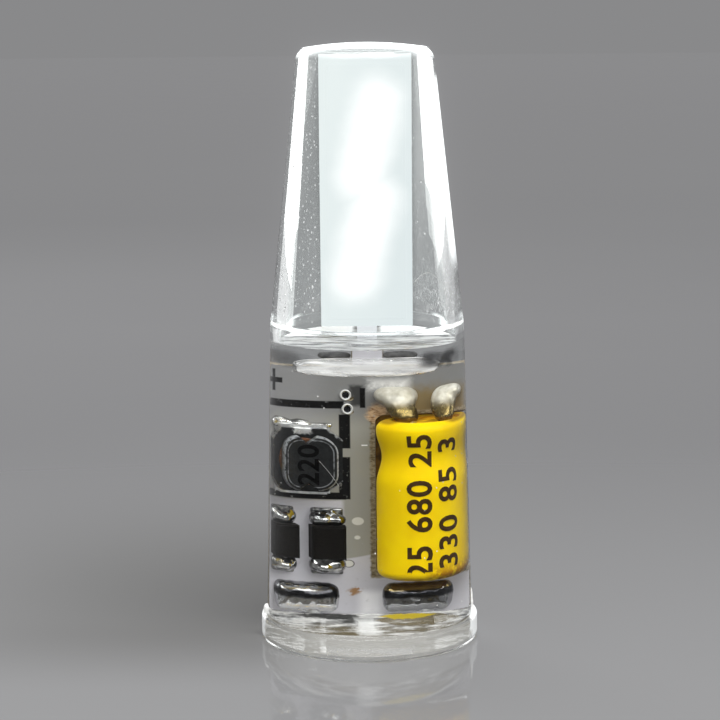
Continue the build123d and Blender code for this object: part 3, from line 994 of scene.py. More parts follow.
class Bench:
    """Makes shapes in millimetres and enters them in the frame as pieces."""

    @staticmethod
    def settle(name: str, form: bmesh.types.BMesh, crease: float) -> bpy.types.Mesh:
        """Turns a shape in millimetres into a smooth mesh in metres.

        Args:
            name: The mesh's name.
            form: The shape, which is freed.
            crease: Edges sharper than this angle in degrees stay sharp.

        Returns:
            The mesh.
        """
        bmesh.ops.scale(form, vec=(MM, MM, MM), verts=form.verts)
        mesh = bpy.data.meshes.new(name)
        form.to_mesh(mesh)
        form.free()
        mesh.shade_smooth()
        mesh.set_sharp_from_angle(angle=math.radians(crease))
        return mesh

    @staticmethod
    def enter(
        name: str,
        form: bmesh.types.BMesh,
        finishes: Sequence[Finish],
        slot: Slot,
        stands_for: Iterable[str] = (),
        crease: float = 35.0,
        casts: bool = True,
    ) -> None:
        """Links a shape as a piece that rides on the bulb.

        Args:
            name: The piece's name.
            form: Its shape, in millimetres in the part's frame.
            finishes: Its finishes, by material index.
            slot: Not used.
            stands_for: The CAD nodes that it replaces.
            crease: Edges sharper than this angle in degrees stay sharp.
            casts: Whether it casts a shadow.
        """
        mesh = Bench.settle(name, form, crease)
        piece = bpy.data.objects.new(name, mesh)
        bpy.context.scene.collection.objects.link(piece)
        for finish in finishes:
            mesh.materials.append(coat(finish))
        piece.visible_shadow = casts
        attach(piece, "root")
        for node in stands_for:
            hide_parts(node)
        LOG.info("%s: %d faces", name, len(mesh.polygons))

    @staticmethod
    def melt(
        balls: Sequence[Ball], limit: float, soft: float = 0.12, wander: float = 0.03,
    ) -> bmesh.types.BMesh:
        """Runs drops together into one soft lump, as seen from its middle.

        Args:
            balls: The drops.
            limit: The lump stays in front of this place along Y, flat against it.
            soft: How far neighbouring drops run together.
            wander: How far the lump's surface wanders.

        Returns:
            The shape.
        """
        places = np.array([ball.place for ball in balls])
        sizes = np.array([ball.size for ball in balls])
        middle = places.mean(axis=0)
        form = bmesh.new()
        bmesh.ops.create_icosphere(form, subdivisions=5, radius=1.0)
        ways = np.array([vert.co for vert in form.verts])
        near, far = np.zeros(len(ways)), np.full(len(ways), 4.0)
        for _ in range(24):
            reach = (near + far) / 2
            points = middle + ways * reach[:, None]
            away = (points[:, None, :] - places[None]) / sizes[None]
            gaps = (np.linalg.norm(away, axis=2) - 1.0) * sizes.min(axis=1)[None]
            inside = np.exp(-gaps / soft).sum(axis=1) > 1.0
            near, far = np.where(inside, reach, near), np.where(inside, far, reach)
        for vert, way, reach in zip(form.verts, ways, near):
            point = Vector(middle + way * reach)
            point += Vector(way) * wander * noise.noise(point * 2.3)
            point.y = min(point.y, limit)
            vert.co = point
        return form

    @staticmethod
    def rounded(corners: Sequence[tuple[float, float, float]], steps: int) -> list[Point]:
        """An open outline with its inner corners rounded.

        Args:
            corners: Each corner and its radius.
            steps: Points along a rounded corner.

        Returns:
            The outline's points.
        """
        points: list[Point] = [corners[0][:2]]
        for before, corner, after in zip(corners, corners[1:], corners[2:]):
            here, radius = Vector(corner[:2]), corner[2]
            back = (Vector(before[:2]) - here).normalized()
            onward = (Vector(after[:2]) - here).normalized()
            half = math.acos(max(-1.0, min(1.0, back.dot(onward)))) / 2
            if radius <= 0:
                points.append(tuple(here))
                continue
            run = radius / math.tan(half)
            centre = here + (back + onward).normalized() * (radius / math.sin(half))
            first, last = here + back * run - centre, here + onward * run - centre
            turn = first.angle_signed(last)
            for step in range(steps + 1):
                points.append(tuple(centre + Matrix.Rotation(-turn * step / steps, 2) @ first))
        points.append(corners[-1][:2])
        return points

    @staticmethod
    def supported(points: Sequence[Point], gap: float = 0.03) -> list[Point]:
        """Adds a point near each end of a long run, so that shading stays true along it.

        Args:
            points: The outline.
            gap: How far from an end a point is added.

        Returns:
            The fuller outline.
        """
        full: list[Point] = [points[0]]
        for start, end in zip(points, points[1:]):
            run = Vector(end) - Vector(start)
            if run.length > 6 * gap:
                step = run.normalized() * gap
                full += [tuple(Vector(start) + step), tuple(Vector(end) - step)]
            full.append(end)
        return full

    @staticmethod
    def lathe(
        outline: Sequence[Point], segments: int, finish: Callable[[Point], int] = lambda middle: 0,
    ) -> bmesh.types.BMesh:
        """Turns an outline about the vertical axis.

        Args:
            outline: Points of radius and height, both ends on the axis.
            segments: Steps round the axis.
            finish: Gives a run's material index from its middle.

        Returns:
            The closed shape.
        """
        form = bmesh.new()
        angles = [math.tau * step / segments for step in range(segments)]
        rings: list[list[bmesh.types.BMVert]] = []
        for radius, height in outline:
            turns = angles if radius >= 1e-6 else angles[:1]
            points = [(radius * math.cos(turn), radius * math.sin(turn), height) for turn in turns]
            rings.append([form.verts.new(point) for point in points])
        for index, (low, high) in enumerate(zip(rings, rings[1:])):
            start, end = outline[index], outline[index + 1]
            kind = finish(((start[0] + end[0]) / 2, (start[1] + end[1]) / 2))
            for step in range(segments):
                following = (step + 1) % segments
                corners = [low[step % len(low)], low[following % len(low)]]
                corners += [high[following % len(high)], high[step % len(high)]]
                unique = list(dict.fromkeys(corners))
                if len(unique) > 2:
                    form.faces.new(unique).material_index = kind
        bmesh.ops.recalc_face_normals(form, faces=form.faces)
        return form

    @staticmethod
    def skinned(sections: Iterable[Sequence[Sequence[float]]]) -> bmesh.types.BMesh:
        """Skins a run of like sections and closes both ends.

        Args:
            sections: The points of each section in turn.

        Returns:
            The closed shape.
        """
        form = bmesh.new()
        rings = [[form.verts.new(point) for point in section] for section in sections]
        for low, high in zip(rings, rings[1:]):
            for side in range(len(low)):
                after = (side + 1) % len(low)
                form.faces.new((low[side], low[after], high[after], high[side]))
        form.faces.new(rings[0])
        form.faces.new(list(reversed(rings[-1])))
        bmesh.ops.recalc_face_normals(form, faces=form.faces)
        return form

    @staticmethod
    def traced(curve: bpy.types.Curve) -> bmesh.types.BMesh:
        """Takes the shape of a curve or of figures.

        Args:
            curve: The curve, which is then removed.

        Returns:
            The shape.
        """
        holder = bpy.data.objects.new("traced", curve)
        bpy.context.scene.collection.objects.link(holder)
        bpy.context.view_layer.update()
        mesh = bpy.data.meshes.new_from_object(holder.evaluated_get(bpy.context.evaluated_depsgraph_get()))
        form = bmesh.new()
        form.from_mesh(mesh)
        bpy.data.objects.remove(holder)
        bpy.data.curves.remove(curve)
        bpy.data.meshes.remove(mesh)
        return form


@dataclass
class ClearBody:
    """The clear moulding and the resin potted in its foot."""

    mouth: float = 4.8708
    draft: float = 1.45
    wall: float = 0.4
    flange: float = 5.5104
    flange_height: float = 1.2
    flange_round: float = 0.12
    shoulder_z: float = 16.05
    shoulder_top: float = 16.12
    shoulder_round: float = 0.6
    cavity_foot: float = 4.0695
    cavity_head: float = 2.9401
    cavity_round: float = 0.4
    step_round: float = 0.05
    ceiling: float = 29.57
    crown: float = 30.02
    crown_edge: Point = (3.3901, 29.72)
    crown_round: float = 0.75
    resin_foot: float = 0.2
    resin_level: float = 15.25
    resin_rim: float = 15.31
    skin: float = 0.004
    segments: int = 256
    glue: Finish = Moulded("white_glue", (0.82, 0.82, 0.80), (0.62, 0.62, 0.60), 0.4, 3.0, 0.04)
    left_glue: tuple[Ball, ...] = (
        Ball((-5.16, -0.40, 0.35), (0.16, 0.22, 0.26)),
        Ball((-5.22, -0.35, 0.75), (0.16, 0.22, 0.30)),
        Ball((-5.16, -0.35, 1.15), (0.14, 0.20, 0.28)),
        Ball((-5.22, -0.38, 1.40), (0.17, 0.22, 0.26)),
    )
    right_glue: tuple[Ball, ...] = (
        Ball((5.16, -0.30, 0.75), (0.10, 0.16, 0.28)),
        Ball((5.18, -0.30, 1.15), (0.10, 0.18, 0.28)),
        Ball((5.17, -0.30, 1.55), (0.10, 0.18, 0.28)),
        Ball((5.14, -0.30, 1.90), (0.09, 0.16, 0.24)),
        Ball((5.14, -0.28, 2.25), (0.10, 0.14, 0.20)),
    )

    def bore(self, height: float) -> float:
        """The drafted bore's radius at a height."""
        return self.mouth - height * math.tan(math.radians(self.draft))

    @staticmethod
    def arc(start: Point, end: Point, steps: int) -> list[Point]:
        """Draws an arc that leaves its start level.

        Args:
            start: Its start, on the axis.
            end: Its end.
            steps: The runs along it.

        Returns:
            Its points.
        """
        run, rise = end[0] - start[0], end[1] - start[1]
        radius = (run * run + rise * rise) / (2 * rise)
        span = math.asin(run / abs(radius))
        angles = [span * step / steps for step in range(steps + 1)]
        return [(abs(radius) * math.sin(a), start[1] + radius * (1 - math.cos(a))) for a in angles]

    def shell(self) -> None:
        """The moulding, its bore below the resin's rim wetted."""
        crown = self.arc((0.0, self.crown), self.crown_edge, 12)
        outer = [
            *((*point, 0.0) for point in crown[:-1]),
            (*self.crown_edge, self.crown_round),
            (self.bore(self.shoulder_z) + self.wall, self.shoulder_z, self.shoulder_round),
            (self.bore(self.flange_height) + self.wall, self.flange_height, self.flange_round),
            (self.flange, self.flange_height, self.flange_round),
            (self.flange, 0.0, self.flange_round),
            (self.mouth, 0.0, 0.0),
            (self.bore(self.resin_rim), self.resin_rim, 0.0),
            (self.bore(self.shoulder_z), self.shoulder_z, self.step_round),
            (self.cavity_foot, self.shoulder_top, self.step_round),
            (self.cavity_head, self.ceiling, self.cavity_round),
            (0.0, self.ceiling, 0.0),
        ]

        def wetted(middle: Point) -> int:
            """Tells the wetted bore and the cavity's wall from the rest.

            Args:
                middle: The middle of a run of the outline.

            Returns:
                One on the bore that the resin has wetted, two on the cavity's wall.
            """
            if abs(middle[0] - self.bore(middle[1])) < 0.01 and middle[1] < self.resin_rim:
                return int(self.resin_foot < middle[1])
            rise = (middle[1] - self.shoulder_top) / (self.ceiling - self.shoulder_top)
            cavity = self.cavity_foot + (self.cavity_head - self.cavity_foot) * rise
            return 2 * int(0.01 < rise < 0.99 and middle[0] < cavity + 0.1)

        form = Bench.lathe(Bench.supported(Bench.rounded(outer, 14)), self.segments, wetted)
        finishes = [ClearPlastic(), BondLine(), ClearPlastic("cavity_wall", 1.0)]
        Bench.enter("shell", form, finishes, Slot.CLEAR_PLASTIC, ["clear_shell"], casts=False)

    def resin(self) -> None:
        """The potted resin: a plug with a hollow top, wetted to the wall all round."""
        rim = (self.bore(self.resin_rim) - self.skin, self.resin_rim)
        foot = (self.bore(self.resin_foot) - self.skin, self.resin_foot)
        top = self.arc((0.0, self.resin_level), rim, 24)

        def wetted(middle: Point) -> int:
            """One on the side of the plug."""
            return int(abs(middle[0] - self.bore(middle[1]) + self.skin) < self.skin / 2)

        form = Bench.lathe(Bench.supported([*top, foot, (0.0, self.resin_foot)]), self.segments, wetted)
        finishes = [ClearResin(), BondLine()]
        Bench.enter("resin", form, finishes, Slot.CLEAR_RESIN, ["resin_fill"], casts=False)

    def build(self) -> None:
        """Makes the moulding, the resin and the white flakes of glue at the foot."""
        self.shell()
        self.resin()
        for name, balls in (("glue_left", self.left_glue), ("glue_right", self.right_glue)):
            form = Bench.melt(balls, self.flange, 0.06, 0.12)
            Bench.enter(name, form, [self.glue], Slot.CLEAR_PLASTIC, crease=SMOOTH)


@dataclass
class SolderJoints:
    """The hand-made joints: blobs on the capacitor's leads, lumps on the pins, fillets at the diodes."""

    board_y: float = 0.40
    left_blob: tuple[Ball, ...] = (
        Ball((0.58, 0.08, 12.58), (0.36, 0.42, 0.34)),
        Ball((0.98, -0.02, 12.56), (0.46, 0.48, 0.38)),
        Ball((1.34, -0.08, 12.50), (0.38, 0.46, 0.40)),
        Ball((1.12, -0.36, 12.12), (0.50, 0.44, 0.44)),
        Ball((1.30, -0.64, 11.78), (0.46, 0.40, 0.40)),
        Ball((1.48, -0.80, 11.48), (0.36, 0.34, 0.28)),
    )
    right_blob: tuple[Ball, ...] = (
        Ball((2.72, 0.05, 12.48), (0.42, 0.45, 0.42)),
        Ball((3.15, 0.02, 12.66), (0.44, 0.42, 0.34)),
        Ball((2.82, -0.30, 12.12), (0.50, 0.45, 0.46)),
        Ball((2.92, -0.62, 11.82), (0.46, 0.40, 0.42)),
        Ball((3.02, -0.80, 11.48), (0.36, 0.34, 0.28)),
    )
    terminal: tuple[Ball, ...] = (
        Ball((-3.45, 0.30, 11.10), (0.24, 0.15, 0.20)),
        Ball((-3.10, 0.29, 11.13), (0.26, 0.16, 0.18)),
        Ball((-2.42, 0.28, 11.02), (0.26, 0.17, 0.22)),
        Ball((-2.18, 0.29, 11.00), (0.20, 0.16, 0.18)),
        Ball((-1.42, 0.30, 11.02), (0.24, 0.15, 0.15)),
    )
    pin_rows: tuple[Ball, ...] = (
        Ball((0.0, 0.16, 2.62), (0.28, 0.46, 0.32)),
        Ball((0.0, 0.16, 2.28), (0.28, 0.44, 0.30)),
        Ball((0.0, 0.12, 1.86), (0.28, 0.50, 0.36)),
    )
    pin_pitch: float = 0.46
    pin_left: float = -2.3
    pin_right: float = 1.7
    diode_x: tuple[float, ...] = (-3.175, -1.425)
    diode_ends: tuple[float, ...] = (3.86, 6.28)
    vias: tuple[Point, ...] = ((-0.74, 12.55), (-0.68, 11.84))
    via_side: tuple[Point, ...] = (
        (0.0, 0.05), (0.10, 0.03), (0.15, 0.04), (0.18, 0.10), (0.21, 0.12), (0.24, 0.09), (0.25, 0.0),
    )
    via_dish: float = 0.155
    via_stretch: Point = (0.78, 1.12)
    cream: Finish = BlobSolder()
    dull: Finish = PinSolder()
    bright: Finish = Metal("fillet_solder", (0.60, 0.60, 0.59), (0.012, 0.012, 0.012), 0.08, 0.12, 1.5, 0.06)
    tin: Finish = Metal("terminal_solder", (0.88, 0.88, 0.86), (0.10, 0.10, 0.10), 0.12, 0.2, 1.7, 0.06)
    # painted highlight: the vias' rims in white
    rim: Finish = Moulded("via_rim", (0.80, 0.80, 0.77), (0.55, 0.55, 0.53), 0.3)

    def pin_lump(self, middle: float) -> list[Ball]:
        """A flat slab over a soft roll, across a pin's end."""
        across = [middle + (step - 2) * self.pin_pitch for step in range(5)]
        return [Ball((at, *row.place[1:]), row.size) for at in across for row in self.pin_rows]

    @staticmethod
    def fillet(middle: float, level: float, seed: int) -> list[Ball]:
        """Runs a lumpy fillet along a diode's end.

        Args:
            middle: The diode's middle across.
            level: The height of its end.
            seed: What sets one fillet's lumps apart from another's.

        Returns:
            The drops.
        """
        balls = []
        for step in range(4):
            lean = 0.08 * math.sin(2.4 * step + seed)
            across = middle + (step - 1.5) * 0.26
            balls.append(Ball((across, 0.16 + lean, level + lean), (0.24, 0.28 - lean, 0.30 + lean)))
        return balls

    def via(self, name: str, middle: Point) -> None:
        """Makes a solder-filled hole: a shallow dish with a raised round rim, painted white as a painted
        highlight.

        Args:
            name: The piece's name.
            middle: Its place on the board.
        """
        outline = [*Bench.supported(self.via_side, 0.01), (0.0, -0.01)]
        form = Bench.lathe(outline, 48, lambda at: int(at[0] > self.via_dish))
        for vert in form.verts:
            across, up = vert.co.x * self.via_stretch[0], vert.co.y * self.via_stretch[1]
            vert.co = Vector((middle[0] + across, self.board_y - vert.co.z, middle[1] + up))
        Bench.enter(name, form, [self.dull, self.rim], Slot.SOLDER, crease=60.0)

    def build(self) -> None:
        """Makes the joints."""
        lumps: list[tuple[str, Sequence[Ball], Finish, list[str]]] = [
            ("capacitor_joint_left", self.left_blob, self.cream, ["capacitor_solder_left"]),
            ("capacitor_joint_right", self.right_blob, self.cream, ["capacitor_solder_right"]),
            ("pin_joint_left", self.pin_lump(self.pin_left), self.dull, ["pin_solder_left"]),
            ("pin_joint_right", self.pin_lump(self.pin_right), self.dull, ["pin_solder_right"]),
            ("terminal_joint", self.terminal, self.tin, []),
        ]
        for index, (across, level) in enumerate((x, z) for x in self.diode_x for z in self.diode_ends):
            lumps.append((f"diode_fillet_{index + 1}", self.fillet(across, level, index), self.bright, []))
        for name, balls, finish, nodes in lumps:
            Bench.enter(name, Bench.melt(balls, self.board_y), [finish], Slot.SOLDER, nodes, SMOOTH)
        for index, middle in enumerate(self.vias):
            self.via(f"via_{index + 1}", middle)


@dataclass
class Sleeve:
    """The capacitor's shrunk film, drawn into the can's rolled groove."""

    axis: Point = (2.34, -0.8)
    radius: float = 2.05
    foot: float = 3.46
    top: float = 11.44
    corner: float = 0.45
    lip: float = 1.5
    film: float = 0.05
    groove_z: float = 9.62
    groove_half: float = 1.35
    groove_depth: float = 0.2
    swell: float = 0.012
    steps: int = 96

    def skin(self, height: float) -> float:
        """Works out the film's radius, its groove and its rounded ends counted.

        Args:
            height: The height on the sleeve.

        Returns:
            The radius.
        """
        away = max(-1.0, min(1.0, (height - self.groove_z) / self.groove_half))
        radius = self.radius - self.groove_depth * (math.cos(math.pi * away) + 1.0) / 2
        end = min(height - self.foot, self.top - height)
        if end < self.corner:
            radius -= self.corner - math.sqrt(max(0.0, self.corner ** 2 - (self.corner - end) ** 2))
        return radius

    def build(self) -> None:
        """Turns the film about the can's axis."""
        shares = [(1 - math.cos(math.pi * step / self.steps)) / 2 for step in range(self.steps + 1)]
        heights = [self.foot + (self.top - self.foot) * share for share in shares]
        outer = [(0.0, self.foot), *((self.skin(height), height) for height in heights), (self.lip, self.top)]
        low, high = self.foot + self.film, self.top - self.film
        inner = [
            (max(0.0, radius - self.film), min(high, max(low, height))) for radius, height in reversed(outer)
        ]
        form = Bench.lathe([*outer, *inner], 128)
        for vert in form.verts:
            swell = self.swell * noise.noise(vert.co * 0.9)
            around = Vector((vert.co.x, vert.co.y, 0.0))
            if around.length > 0.1:
                vert.co += around.normalized() * swell
            vert.co += Vector((*self.axis, 0.0))
        Bench.enter("sleeve", form, [SleeveFilm()], Slot.YELLOW_SLEEVE, ["capacitor_sleeve"], 60.0)


@dataclass
class Trapped:
    """What the resin has trapped: brown glue, an air pocket and fine fibres; beside them, two dark strips of
    painted shade.
    """

    notch: Point = (3.38, 11.5)
    bead_side: tuple[Point, ...] = (
        (0.25, 0.46), (0.46, 0.55), (0.70, 0.50), (0.92, 0.72), (0.62, 0.92), (0.25, 0.92),
    )
    bead_steps: int = 60
    row_start: Ball = Ball((0.55, 0.85, 11.55), (0.34, 0.22, 0.13))
    row_pitch: float = 0.42
    pocket: Place = (-0.02, 0.05, 13.95)
    pocket_half: Place = (2.56, 0.3, 0.50)
    blunt: float = 0.62
    shade_strips: tuple[tuple[str, Point], ...] = (("left", (-1.45, -0.68)), ("right", (0.66, 1.5)))
    fibres: tuple[tuple[int, float, tuple[Place, ...]], ...] = (
        (1, 0.006, ((-2.0, -1.75, 9.5), (-1.5, -1.72, 8.9), (-1.15, -1.6, 8.2))),
        (3, 0.008, ((2.25, -2.2, 18.35), (2.6, -2.2, 18.8), (3.1, -2.0, 18.75), (3.4, -1.8, 18.2))),
        (2, 0.014, ((0.45, -1.3, 7.4), (0.36, -1.2, 6.6), (0.44, -1.25, 5.9), (0.30, -1.1, 5.4))),
    )
    glue: Finish = Moulded("brown_glue", (0.035, 0.018, 0.006), (0.16, 0.085, 0.018), 0.25, 2.2, 0.03)
    lint: Finish = Moulded("lint", (0.75, 0.74, 0.7), (0.6, 0.6, 0.58), 0.5)
    # the colour of the dark strips of painted shade beside the tongue
    flux: Finish = Moulded("painted_shade_strip", (0.06, 0.06, 0.062), (0.16, 0.16, 0.16), 0.5, 3.0)

    def bead(self) -> None:
        """A brown bead of glue between the board's notch and the capacitor, and a row over its top."""
        sections = []
        for step in range(self.bead_steps + 1):
            height = self.notch[0] + (self.notch[1] - self.notch[0]) * step / self.bead_steps
            section = []
            for across, deep in self.bead_side:
                drift = 0.03 * noise.noise(Vector((across * 2.0, deep * 2.0, height * 1.6)))
                section.append((across, deep + drift, height))
            sections.append(section)
        Bench.enter("glue_bead", Bench.skinned(sections), [self.glue], Slot.CLEAR_RESIN, crease=60.0)
        left, *rest = self.row_start.place
        row = [Ball((left + self.row_pitch * step, *rest), self.row_start.size) for step in range(9)]
        Bench.enter("glue_row", Bench.melt(row, 1.15, 0.06), [self.glue], Slot.CLEAR_RESIN, crease=SMOOTH)

    def bubble(self) -> None:
        """A long flat air pocket along the board's top edge, its faces turned to the air inside."""
        form = bmesh.new()
        bmesh.ops.create_icosphere(form, subdivisions=5, radius=1.0)
        for vert in form.verts:
            ball = vert.co.copy()
            blunt = Vector([math.copysign(abs(part) ** self.blunt, part) for part in ball])
            blunt *= 1.0 + 0.08 * noise.noise(ball * 1.9)
            blunt.z = blunt.z if blunt.z > 0.0 else blunt.z * 0.85
            sides = zip(self.pocket, blunt, self.pocket_half)
            vert.co = Vector([at + share * half for at, share, half in sides])
        bmesh.ops.reverse_faces(form, faces=form.faces)
        Bench.enter("air_pocket", form, [AirPocket()], Slot.CLEAR_RESIN, crease=SMOOTH, casts=False)

    def smear(self, name: str, ends: Point) -> None:
        """Makes a dark flat strip of painted shade beside the board's tongue.

        Args:
            name: The piece's name.
            ends: Where it begins and ends across.
        """
        across = [ends[0] + (ends[1] - ends[0]) * step / 9 for step in range(10)]
        balls = [Ball((at, 0.8, 14.51), (0.14, 0.07, 0.14)) for at in across]
        Bench.enter(name, Bench.melt(balls, 0.9, 0.015, 0.05), [self.flux], Slot.CLEAR_RESIN, crease=SMOOTH)

    def fibre(self, name: str, radius: float, points: Sequence[Place]) -> None:
        """Makes a fine light fibre.

        Args:
            name: The piece's name.
            radius: The fibre's radius.
            points: The points that it runs by.
        """
        curve = bpy.data.curves.new(name, "CURVE")
        curve.dimensions = "3D"
        curve.bevel_depth = radius
        curve.bevel_resolution = 1
        curve.use_fill_caps = True
        line = curve.splines.new("NURBS")
        line.points.add(len(points) - 1)
        line.use_endpoint_u = True
        line.order_u = 3
        for knot, point in zip(line.points, points):
            knot.co = (*point, 1.0)
        Bench.enter(name, Bench.traced(curve), [self.lint], Slot.CLEAR_RESIN, crease=SMOOTH)

    def build(self) -> None:
        """Makes all that is trapped."""
        self.bead()
        self.bubble()
        for side, ends in self.shade_strips:
            self.smear(f"painted_shade_strip_{side}", ends)
        for number, radius, points in self.fibres:
            self.fibre(f"fibre_{number}", radius, points)


@dataclass
class Coil:
    """The inductor's winding, laid turn by turn over a ring of inner layers."""

    middle: Point = (-2.4, 9.3)
    near: float = -0.98
    far: float = -0.32
    radius: float = 1.105
    inset: float = 0.03
    wire: float = 0.052
    turns: int = 6
    steps: int = 48
    sides: int = 8
    enamel: Finish = Metal("enamelled_wire", (0.13, 0.05, 0.018), (0.08, 0.028, 0.01), 0.35, 0.15, 5.0)

    def section(self, share: float) -> list[Vector]:
        """Finds the wire's section.

        Args:
            share: How far along the wire, from 0 to 1.

        Returns:
            The section's points.
        """
        turn = math.tau * self.turns * share
        out = Vector((math.cos(turn), 0.0, math.sin(turn)))
        along = self.far - self.wire + (self.near - self.far + 2 * self.wire) * share
        centre = Vector((self.middle[0], along, self.middle[1])) + out * self.radius
        angles = [math.tau * side / self.sides for side in range(self.sides)]
        return [centre + (out * math.cos(a) + Vector((0.0, math.sin(a), 0.0))) * self.wire for a in angles]

    def build(self) -> None:
        """Sweeps the wire round the hub and adds the inner layers."""
        count = self.turns * self.steps
        form = Bench.skinned(self.section(step / count) for step in range(count + 1))
        upright = Matrix.Rotation(math.radians(90.0), 4, "X")
        place = Matrix.Translation((self.middle[0], (self.near + self.far) / 2, self.middle[1])) @ upright
        ring = self.radius - self.inset
        depth = self.far - self.near
        bmesh.ops.create_cone(
            form, cap_ends=True, segments=64, radius1=ring, radius2=ring, depth=depth, matrix=place,
        )
        Bench.enter("coil", form, [self.enamel], Slot.ENAMELLED_WIRE, ["inductor_winding"])


@dataclass
class Print:
    """Plain numbers printed on a piece, as a thin film that follows its surface."""

    lift: float = 0.02

    @staticmethod
    def letters(text: str, size: float, spread: float) -> bmesh.types.BMesh:
        """Flat figures, centred, reading along +X.

        Args:
            text: The figures.
            size: Their height in millimetres.
            spread: Their spacing, 1 for the font's own.

        Returns:
            The shape in the XY plane.
        """
        curve = bpy.data.curves.new("figures", "FONT")
        curve.body = text
        curve.size = size * 1.4
        curve.space_character = spread
        curve.align_x = curve.align_y = "CENTER"
        curve.resolution_u = 4
        curve.offset = size * 0.03
        return Bench.traced(curve)

    @staticmethod
    def cut(form: bmesh.types.BMesh, axis: Vector, half: float, gap: float) -> None:
        """Cuts a flat shape into strips, so that it can bend.

        Args:
            form: The shape.
            axis: The way across the strips.
            half: How far to each side it is cut.
            gap: A strip's width.
        """
        for step in range(1, int(2 * half / gap)):
            everything = [*form.verts, *form.edges, *form.faces]
            place = axis * (step * gap - half)
            bmesh.ops.bisect_plane(form, geom=everything, plane_co=place, plane_no=axis, dist=1e-6)


@dataclass
class SleevePrint(Print):
    """Two upright lines of figures on the sleeve, each with its angle, size, middle and spacing."""

    sleeve: Sleeve = field(default_factory=Sleeve)
    ends: Point = (3.95, 10.95)
    reach: float = 4.4
    lines: tuple[tuple[str, float, float, float, float], ...] = (
        ("25 680 25", -1.0, 1.20, 7.30, 1.08),
        ("330 85 3", 43.0, 1.20, 7.35, 1.12),
    )
    ink: Finish = Moulded("sleeve_ink", (0.030, 0.014, 0.002), (0.055, 0.026, 0.004), 0.5, 4.0, 0.002)

    def build(self) -> None:
        """Makes each line and wraps it on the sleeve."""
        for index, (text, angle, size, middle, spread) in enumerate(self.lines):
            form = self.letters(text, size, spread)
            self.cut(form, Vector((0.0, 1.0, 0.0)), size, 0.07)
            self.cut(form, Vector((1.0, 0.0, 0.0)), self.reach, 0.12)
            for vert in form.verts:
                height = middle + vert.co.x
                around = math.radians(angle) - vert.co.y / self.sleeve.radius
                out = self.sleeve.skin(height) + self.lift
                across, deep = out * math.sin(around), -out * math.cos(around)
                vert.co = Vector((self.sleeve.axis[0] + across, self.sleeve.axis[1] + deep, height))
            beyond = [f for f in form.faces if not self.ends[0] < f.calc_center_median().z < self.ends[1]]
            bmesh.ops.delete(form, geom=beyond, context="FACES")
            Bench.enter(f"sleeve_print_{index + 1}", form, [self.ink], Slot.YELLOW_SLEEVE)


@dataclass
class CorePrint(Print):
    """Dim figures on the inductor's head."""

    middle: Point = (-2.4, 9.25)
    face_y: float = -1.6
    ink: Finish = Moulded("core_ink", (0.0004, 0.0004, 0.0004), (0.001, 0.001, 0.001), 0.8, 4.0, 0.002, 0.0)

    def build(self) -> None:
        """Makes the figures upright on the head."""
        form = self.letters("220", 0.95, 1.05)
        for vert in form.verts:
            across, up = self.middle[0] - vert.co.y, self.middle[1] + vert.co.x
            vert.co = Vector((across, self.face_y - self.lift, up))
        bmesh.ops.reverse_faces(form, faces=form.faces)
        Bench.enter("core_print", form, [self.ink], Slot.FERRITE)


class Wiring:
    """Dresses the carried-over solids of the driver board and the lit plate."""

    def dress(self) -> None:
        """Gives every carried-over solid its finish."""
        solder = Metal("solder", (0.86, 0.83, 0.74), (0.60, 0.57, 0.50), 0.10, 0.16, 1.6, 0.03)
        tinned = Metal("tinned_strip", (0.72, 0.72, 0.72), (0.46, 0.46, 0.46), 0.22, scale=4.0)
        # painted shade: a darker copy of the tin
        dim = Metal("painted_shaded_tin", (0.34, 0.34, 0.33), (0.05, 0.05, 0.05), depth=0.02)
        pins = Metal("pin_metal", (0.66, 0.66, 0.66), (0.42, 0.42, 0.43), 0.25)
        mould = Moulded("black_mould", (0.002, 0.0018, 0.0015), (0.006, 0.005, 0.004), 0.42, 7.0, 0.015, 0.04)
        # painted light: the grey-black rubber bung coloured with the amber light from the yellow sleeve
        rubber = Moulded("bung_rubber", (0.95, 0.52, 0.01), (0.16, 0.07, 0.004), 0.35, 1.6, 0.02)
        resistor = Moulded("resistor_ceramic", (0.015, 0.015, 0.016), (0.04, 0.04, 0.042), 0.3, 6.0)
        ceramic = Moulded("capacitor_ceramic", (0.34, 0.22, 0.12), (0.44, 0.30, 0.18), 0.35)
        chip = Moulded("led_chip", (0.35, 0.42, 0.55), (0.5, 0.55, 0.62), 0.2, 8.0)
        leads = [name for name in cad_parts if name.endswith(("_leads", "_ends"))]
        diodes = [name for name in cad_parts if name.endswith("_diode")]
        groups: list[tuple[Finish, Sequence[str]]] = [
            (BoardMask(), ["circuit_board"]),
            (Glow("lit_ceramic"), ["led_plate"]),
            (Glow("phosphor"), ["phosphor_front", "phosphor_rear"]),
            (chip, ["led_chips"]),
            (tinned, ["inductor_terminals", "capacitor_lead_left", "capacitor_lead_right", *leads]),
            # the front diodes' leads and the board's solder pads in the painted shade of the tin
            (dim, ["board_solder", *(name for name in leads if name.startswith("front_"))]),
            (Ferrite(), ["inductor_core"]),
            (CanMetal(), ["capacitor_can"]),
            (rubber, ["capacitor_bung"]),
            (solder, ["led_solder_left", "led_solder_right"]),
            (pins, ["contact_pin_left", "contact_pin_right"]),
            (mould, ["driver_chip", *diodes]),
            (resistor, ["sense_resistor"]),
            (ceramic, ["ceramic_capacitor"]),
        ]
        for finish, names in groups:
            for name in names:
                self.paint(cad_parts[name], coat(finish))

    @staticmethod
    def paint(piece: bpy.types.Object, material: bpy.types.Material) -> None:
        """Puts one finish on a carried-over solid.

        Args:
            piece: The solid.
            material: The finish's material.
        """
        if not piece.material_slots:
            piece.data.materials.append(material)
        for slot in piece.material_slots:
            slot.material = material
        LOG.info("%s: %s", piece.name, material.name)


